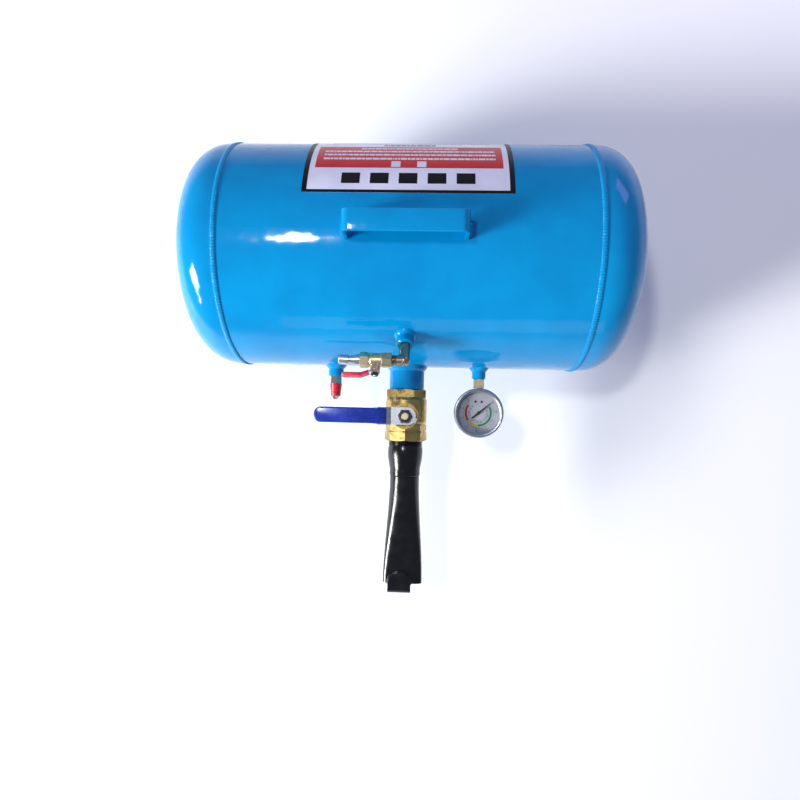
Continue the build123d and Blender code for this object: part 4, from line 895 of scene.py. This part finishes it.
@dataclass
class OutletValve:
    """Large ball valve: the dipped sleeve and the nylon insert of its locking nut."""

    insert_radius: float = 6.0 * MM
    insert_thickness: float = 0.85 * MM
    insert_sink: float = 0.3
    insert_segments: tuple[int, int] = (48, 12)
    sleeve_half_height: float = 3.45 * MM
    sleeve_knee: float = 36.0 * MM
    sleeve_edge: float = 2.2 * MM

    def nut_insert(self) -> bpy.types.Object:
        """Build the nylon ring in the top of the locking nut.

        Returns:
            The ring.
        """
        low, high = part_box("outlet_lever_nut")
        centre = (low + high) / 2
        bench = Bench("outlet_nut_insert")
        bpy.ops.mesh.primitive_torus_add(
            location=(centre.x, centre.y, high.z - self.insert_thickness * self.insert_sink),
            major_segments=self.insert_segments[0], minor_segments=self.insert_segments[1],
            major_radius=self.insert_radius, minor_radius=self.insert_thickness,
        )
        return settle(bench.finish(ROUND_DEGREES), NYLON, "outlet_lever")

    def build(self) -> None:
        """Dress the valve and build its sleeve and nut insert."""
        dress_valve("outlet", FORGED_BRASS, ZINC_PLATE)
        hub_x, _, hub_z = joint_named("outlet_lever_turn")["pos_m"]
        low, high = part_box("outlet_lever_sleeve")
        top = high.z - self.sleeve_half_height - hub_z
        bottom = low.z + self.sleeve_half_height - hub_z
        LeverSleeve(
            "outlet_sleeve", "outlet_lever_sleeve", "outlet_lever_turn", "outlet_lever",
            "blue_grip", stem_sign=1.0,
            path=[(hub_x - high.x, bottom), (self.sleeve_knee, top), (hub_x - low.x, top)],
            half_width=(high.y - low.y) / 2, half_height=self.sleeve_half_height,
            edge=self.sleeve_edge, finish=BLUE_VINYL,
        ).build()
        self.nut_insert()


@dataclass
class FillLine:
    """Elbow, small ball valve and quick plug on the inlet boss."""

    sleeve_path: list[tuple[float, float]] = field(default_factory=lambda: [
        (7.0 * MM, 17.3 * MM), (8.0 * MM, 17.3 * MM), (17.0 * MM, 20.8 * MM),
        (40.1 * MM, 20.8 * MM),
    ])
    sleeve_half_width: float = 4.75 * MM
    sleeve_half_height: float = 2.05 * MM
    sleeve_edge: float = 1.6 * MM

    def build(self) -> None:
        """Dress the line and build the small lever's sleeve."""
        dress_valve("fill", PALE_BRASS, ZINC_PLATE)
        dress("inlet_elbow", AGED_BRASS)
        dress("quick_plug", ZINC_PLATE)
        LeverSleeve(
            "fill_sleeve", "fill_lever_sleeve", "fill_lever_turn", "fill_lever", "red_grip",
            stem_sign=-1.0, path=self.sleeve_path, half_width=self.sleeve_half_width,
            half_height=self.sleeve_half_height, edge=self.sleeve_edge, finish=RED_VINYL,
        ).build()


# ------------------------------------------------------------------ nozzle
@dataclass
class Nozzle:
    """Reducer, flattened tube and bead hook, in black enamel."""

    nodes: tuple[str, ...] = ("nozzle_reducer", "nozzle_tube")
    strap: float = 4.5 * MM
    bend: float = 8.0 * MM
    bend_steps: int = 10
    end_segments: int = 14
    rounding: float = 0.9 * MM
    rounding_segments: int = 4
    sharp_degrees: float = 40.0
    smooth_degrees: float = 35.0
    bead: float = 1.7 * MM
    bead_segments: tuple[int, int] = (64, 12)

    def hook(self) -> bpy.types.Object:
        """Build the strap with a round end that bends down past the mouth.

        Returns:
            The hook, in place of the plain node.
        """
        low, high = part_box("nozzle_hook")
        middle = (low + high) / 2
        bend_start = low.y + self.bend
        bench = Bench("bead_hook")
        bpy.ops.mesh.primitive_cube_add(
            size=1.0, location=(middle.x, (bend_start + high.y) / 2, high.z - self.strap / 2),
            scale=(high.x - low.x, high.y - bend_start, self.strap),
        )
        bench.pick(
            "EDGE",
            lambda place: place.y > high.y - NEAR and abs(place.x - middle.x) > MM,
        )
        bpy.ops.mesh.bevel(offset=(high.x - low.x) / 2 - NEAR, segments=self.end_segments)
        bench.pick("FACE", lambda place: place.y < bend_start + NEAR)
        bpy.ops.mesh.delete(type="ONLY_FACE")
        bench.pick("EDGE", lambda place: place.y < bend_start + NEAR)
        bench.spin(
            Vector((middle.x, bend_start, high.z - self.bend)), Vector((1, 0, 0)), 90,
            self.bend_steps,
        )
        bpy.ops.mesh.extrude_region_move(
            TRANSFORM_OT_translate={"value": (0, 0, low.z - high.z + self.bend)}
        )
        hook = bench.finish()
        apply_modifier(
            hook, "BEVEL", width=self.rounding, segments=self.rounding_segments,
            limit_method="ANGLE", angle_limit=math.radians(self.sharp_degrees),
        )
        bpy.ops.object.shade_smooth_by_angle(angle=math.radians(self.smooth_degrees))
        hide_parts("nozzle_hook")
        return settle(hook, BLACK_ENAMEL, TANK_BODY)

    def hook_weld(self) -> bpy.types.Object:
        """Build the painted weld around the round end of the hook.

        Returns:
            The weld.
        """
        low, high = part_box("nozzle_hook")
        radius = (high.x - low.x) / 2
        centre = Vector(((low.x + high.x) / 2, high.y - radius, high.z - self.strap))
        bench = Bench("hook_weld")
        bpy.ops.mesh.primitive_torus_add(
            location=centre, major_segments=self.bead_segments[0],
            minor_segments=self.bead_segments[1], major_radius=radius, minor_radius=self.bead,
        )
        bench.pick("VERT", lambda place: place.y < centre.y - self.bead)
        bpy.ops.mesh.delete(type="VERT")
        weld = bench.finish(ROUND_DEGREES)
        return settle(weld, BLACK_ENAMEL, TANK_BODY)

    def build(self) -> None:
        """Dress the nozzle and build its hook and the hook's weld."""
        for node in self.nodes:
            dress(node, BLACK_ENAMEL)
        self.hook()
        self.hook_weld()


# ------------------------------------------------------------------ relief valve
@dataclass
class ReliefValve:
    """Spring-loaded relief valve."""

    finishes: dict[str, Finish] = field(default_factory=lambda: {
        "safety_body": NICKEL_PLATE, "safety_sleeve": RED_ABS, "safety_adjuster": NICKEL_PLATE,
        "safety_poppet": NICKEL_PLATE, "safety_seal": NITRILE,
    })
    smooth_degrees: float = 40.0

    def spring(self) -> bpy.types.Object:
        """Build the spring as a merged copy of its node, with a mesh of its own.

        Returns:
            The spring, in place of its node.
        """
        piece = copied("safety_spring", "relief_spring")
        bpy.ops.object.shade_smooth_by_angle(angle=math.radians(self.smooth_degrees))
        settle(piece, SPRING_STEEL, TANK_BODY)
        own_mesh(piece)
        return piece

    def build(self) -> None:
        """Dress the relief valve and build its spring."""
        for node, finish in self.finishes.items():
            dress(node, finish)
        self.spring()


# ------------------------------------------------------------------ gauge
class Zone(Enum):
    """Coloured arcs of the dial: start and end in degrees about +Z from +X, and the ink."""

    GREEN = (31.0, -91.0, DIAL_GREEN)
    YELLOW = (-91.0, -135.6, DIAL_YELLOW)
    RED = (-142.0, -219.0, DIAL_RED)


@dataclass(frozen=True)
class Scale:
    """Ring of ticks. Its inner radius is a share of the dial's, and widths are in degrees."""

    share: float
    length: float
    divisions: int
    width: float


@dataclass
class DialGauge:
    """Dial gauge: the printing of its dial and the finishes of its case and movement.

    Angles are in degrees, and shares are of the dial's radius.
    """

    ink: float = 0.05 * MM
    degrees_a_step: float = 3.0
    zone_share: float = 0.52
    zone_width: float = 2.8 * MM
    scales: tuple[Scale, ...] = (
        Scale(0.66, 1.30 * MM, 40, 1.0), Scale(0.36, 0.78 * MM, 60, 1.6),
        Scale(0.42, 1.04 * MM, 24, 3.2),
    )
    long_tick_every: int = 5
    long_tick_growth: float = 1.8
    number_share: float = 0.82
    number_size: float = 3.4 * MM
    number_step: int = 2
    numbers_shown: int = 9
    zero: float = 40.0
    sweep: float = 270.0
    finishes: dict[str, Finish] = field(default_factory=lambda: {
        "gauge_socket": PALE_BRASS, "gauge_case": BRUSHED_STAINLESS, "gauge_bezel": STAINLESS,
        "gauge_window": GLASS, "gauge_dial": DIAL_WHITE, "dial_screws": DIAL_BLACK,
        "gauge_pointer": DIAL_BLACK, "pinion_arbor": TURNED_BRASS, "sector_gear": TURNED_BRASS,
        "movement_frame": TURNED_BRASS, "bourdon_tube": TURNED_BRASS,
    })

    def __post_init__(self) -> None:
        """Find the dial's centre, face and radius."""
        low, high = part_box("gauge_dial")
        self.centre = Vector(((low.x + high.x) / 2, (low.y + high.y) / 2, high.z))
        self.radius = (high.x - low.x) / 2

    def arc(
        self, bench: Bench, inner: float, outer: float, start: float, degrees: float
    ) -> None:
        """Add a flat printed arc.

        Args:
            bench: Mesh that it is added to.
            inner: Its inner radius.
            outer: Its outer radius.
            start: Where it starts, about +Z from +X.
            degrees: How far it turns.
        """
        out = Vector((math.cos(math.radians(start)), math.sin(math.radians(start)), 0))
        top = self.centre + Vector((0, 0, self.ink))
        under = self.centre - Vector((0, 0, self.ink))
        bench.line([
            under + out * inner, under + out * outer, top + out * outer, top + out * inner,
            under + out * inner,
        ])
        steps = max(1, round(abs(degrees) / self.degrees_a_step))
        bench.spin(self.centre, Vector((0, 0, 1)), degrees, steps)

    def zones(self) -> None:
        """Print the three coloured arcs."""
        inner = self.radius * self.zone_share
        for zone in Zone:
            start, end, ink = zone.value
            bench = Bench(f"dial_{zone.name.lower()}_arc")
            self.arc(bench, inner, inner + self.zone_width, start, end - start)
            settle(bench.finish(), ink, TANK_BODY)

    def ticks(self) -> None:
        """Print each scale's ticks, some of them longer and wider."""
        bench = Bench("dial_ticks")
        for scale in self.scales:
            inner = self.radius * scale.share
            for index in range(scale.divisions + 1):
                growth = 1.0 if index % self.long_tick_every else self.long_tick_growth
                turn = scale.width * growth
                start = self.zero - index * self.sweep / scale.divisions + turn / 2
                self.arc(bench, inner, inner + scale.length * growth, start, -turn)
        settle(bench.finish(), DIAL_BLACK, TANK_BODY)

    def numbers(self) -> None:
        """Print the numbers, upright when read from behind."""
        texts = []
        for index in range(self.numbers_shown):
            turn = index * self.sweep / (self.numbers_shown - 1)
            angle = math.radians(self.zero - turn)
            reach = self.radius * self.number_share
            bpy.ops.object.select_all(action="DESELECT")
            bpy.ops.object.text_add(
                location=self.centre + Vector((math.cos(angle), math.sin(angle), 0)) * reach,
                rotation=(0, 0, math.pi),
            )
            text = bpy.context.object
            text.data.body = str(index * self.number_step)
            text.data.size = self.number_size
            text.data.extrude = self.ink
            text.data.align_x = "CENTER"
            text.data.align_y = "CENTER"
            bpy.ops.object.convert(target="MESH")
            texts.append(bpy.context.object)
        numbers = joined(texts, "dial_numbers")
        set_place(numbers)
        settle(numbers, DIAL_BLACK, TANK_BODY)

    def build(self) -> None:
        """Dress the gauge and print its dial."""
        for node, finish in self.finishes.items():
            dress(node, finish)
        self.zones()
        self.ticks()
        self.numbers()


# ------------------------------------------------------------------ studio
@dataclass(frozen=True)
class Lamp:
    """Area light that stands off from the tank's centre and is aimed at it."""

    name: str
    place: tuple[float, float, float]
    size: tuple[float, float]
    watts: float
    colour: str = "#ffffff"


@dataclass
class Studio:
    """Pale floor, soft light and the camera, which looks almost straight down.

    Places are in metres from the tank's centre, and turns are in degrees.
    """

    floor_size: float = 80.0
    floor_colour: str = "#fbfbfb"
    floor_roughness: float = 0.9
    sun_place: tuple[float, float, float] = (-1.80, -0.78, 0.88)
    sun_strength: float = 2.2
    sun_width: float = 13.0
    lamps: tuple[Lamp, ...] = (
        Lamp("key_light", (-1.80, -0.78, 0.88), (0.70, 0.50), 38.0),
        Lamp("side_light", (-1.45, -1.15, 0.62), (0.16, 0.22), 6.0),
        Lamp("ceiling_light", (-0.60, 0.22, 2.25), (0.24, 0.16), 15.0),
        Lamp("front_light", (0.20, -2.30, 0.45), (1.9, 0.6), 3.5),
        Lamp("rim_light", (1.25, 1.45, 0.75), (0.7, 0.5), 5.0, "#b98cff"),
    )
    room_colour: str = "#d6e1ff"
    room_strength: float = 0.34
    lens: float = 26.66
    camera_place: tuple[float, float, float] = (0.0278, -0.2010, 0.8311)
    camera_turn: tuple[float, float, float] = (0.361, 2.535, 1.413)

    def floor(self) -> None:
        """Lay the plain pale floor."""
        bpy.ops.object.select_all(action="DESELECT")
        bpy.ops.mesh.primitive_plane_add(size=self.floor_size, location=(0, 0, 0))
        floor = bpy.context.object
        floor.name = "studio_floor"
        material = bpy.data.materials.new("Matt white floor")
        material.use_nodes = True
        shader = material.node_tree.nodes["Principled BSDF"]
        shader.inputs["Base Color"].default_value = linear(self.floor_colour)
        shader.inputs["Roughness"].default_value = self.floor_roughness
        floor.data.materials.append(material)

    def stand(self, light: bpy.types.Light, place: tuple[float, float, float]) -> None:
        """Put a light in its place and aim it at the tank.

        Args:
            light: The light.
            place: Its place from the tank's centre.
        """
        stand = bpy.data.objects.new(light.name, light)
        stand.location = TANK_AXIS + Vector(place)
        stand.rotation_euler = (-Vector(place)).to_track_quat("-Z", "Y").to_euler()
        bpy.context.scene.collection.objects.link(stand)

    def lights(self) -> None:
        """Set the broad soft sun, which lights the floor evenly, and the lamps."""
        sun = bpy.data.lights.new("window_light", "SUN")
        sun.energy = self.sun_strength
        sun.angle = math.radians(self.sun_width)
        self.stand(sun, self.sun_place)
        for lamp in self.lamps:
            light = bpy.data.lights.new(lamp.name, "AREA")
            light.shape = "RECTANGLE"
            light.size, light.size_y = lamp.size
            light.energy = lamp.watts
            light.color = linear(lamp.colour)[:3]
            self.stand(light, lamp.place)

    def room(self) -> None:
        """Set the soft light that comes from all round."""
        world = bpy.data.worlds.new("Soft room")
        world.use_nodes = True
        background = world.node_tree.nodes["Background"]
        background.inputs["Color"].default_value = linear(self.room_colour)
        background.inputs["Strength"].default_value = self.room_strength
        bpy.context.scene.world = world
        bpy.context.scene.view_settings.view_transform = "Standard"

    def camera(self) -> None:
        """Set the camera."""
        data = bpy.data.cameras.new("camera")
        data.lens = self.lens
        camera = bpy.data.objects.new("camera", data)
        camera.location = TANK_AXIS + Vector(self.camera_place)
        camera.rotation_euler = [math.radians(turn) for turn in self.camera_turn]
        bpy.context.scene.collection.objects.link(camera)
        bpy.context.scene.camera = camera

    def build(self) -> None:
        """Set the floor, lights, surroundings and camera."""
        self.floor()
        self.lights()
        self.room()
        self.camera()


def main() -> None:
    """Build every sub-assembly's looks in order, then the studio."""
    logging.basicConfig(level=logging.INFO, format="%(message)s")
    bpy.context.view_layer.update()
    for part in (
        Vessel(), PrintedLabel(), OutletValve(), FillLine(), Nozzle(), ReliefValve(),
        DialGauge(), Studio(),
    ):
        LOG.info("building %s", type(part).__name__)
        part.build()


if __name__ == "__main__":
    main()
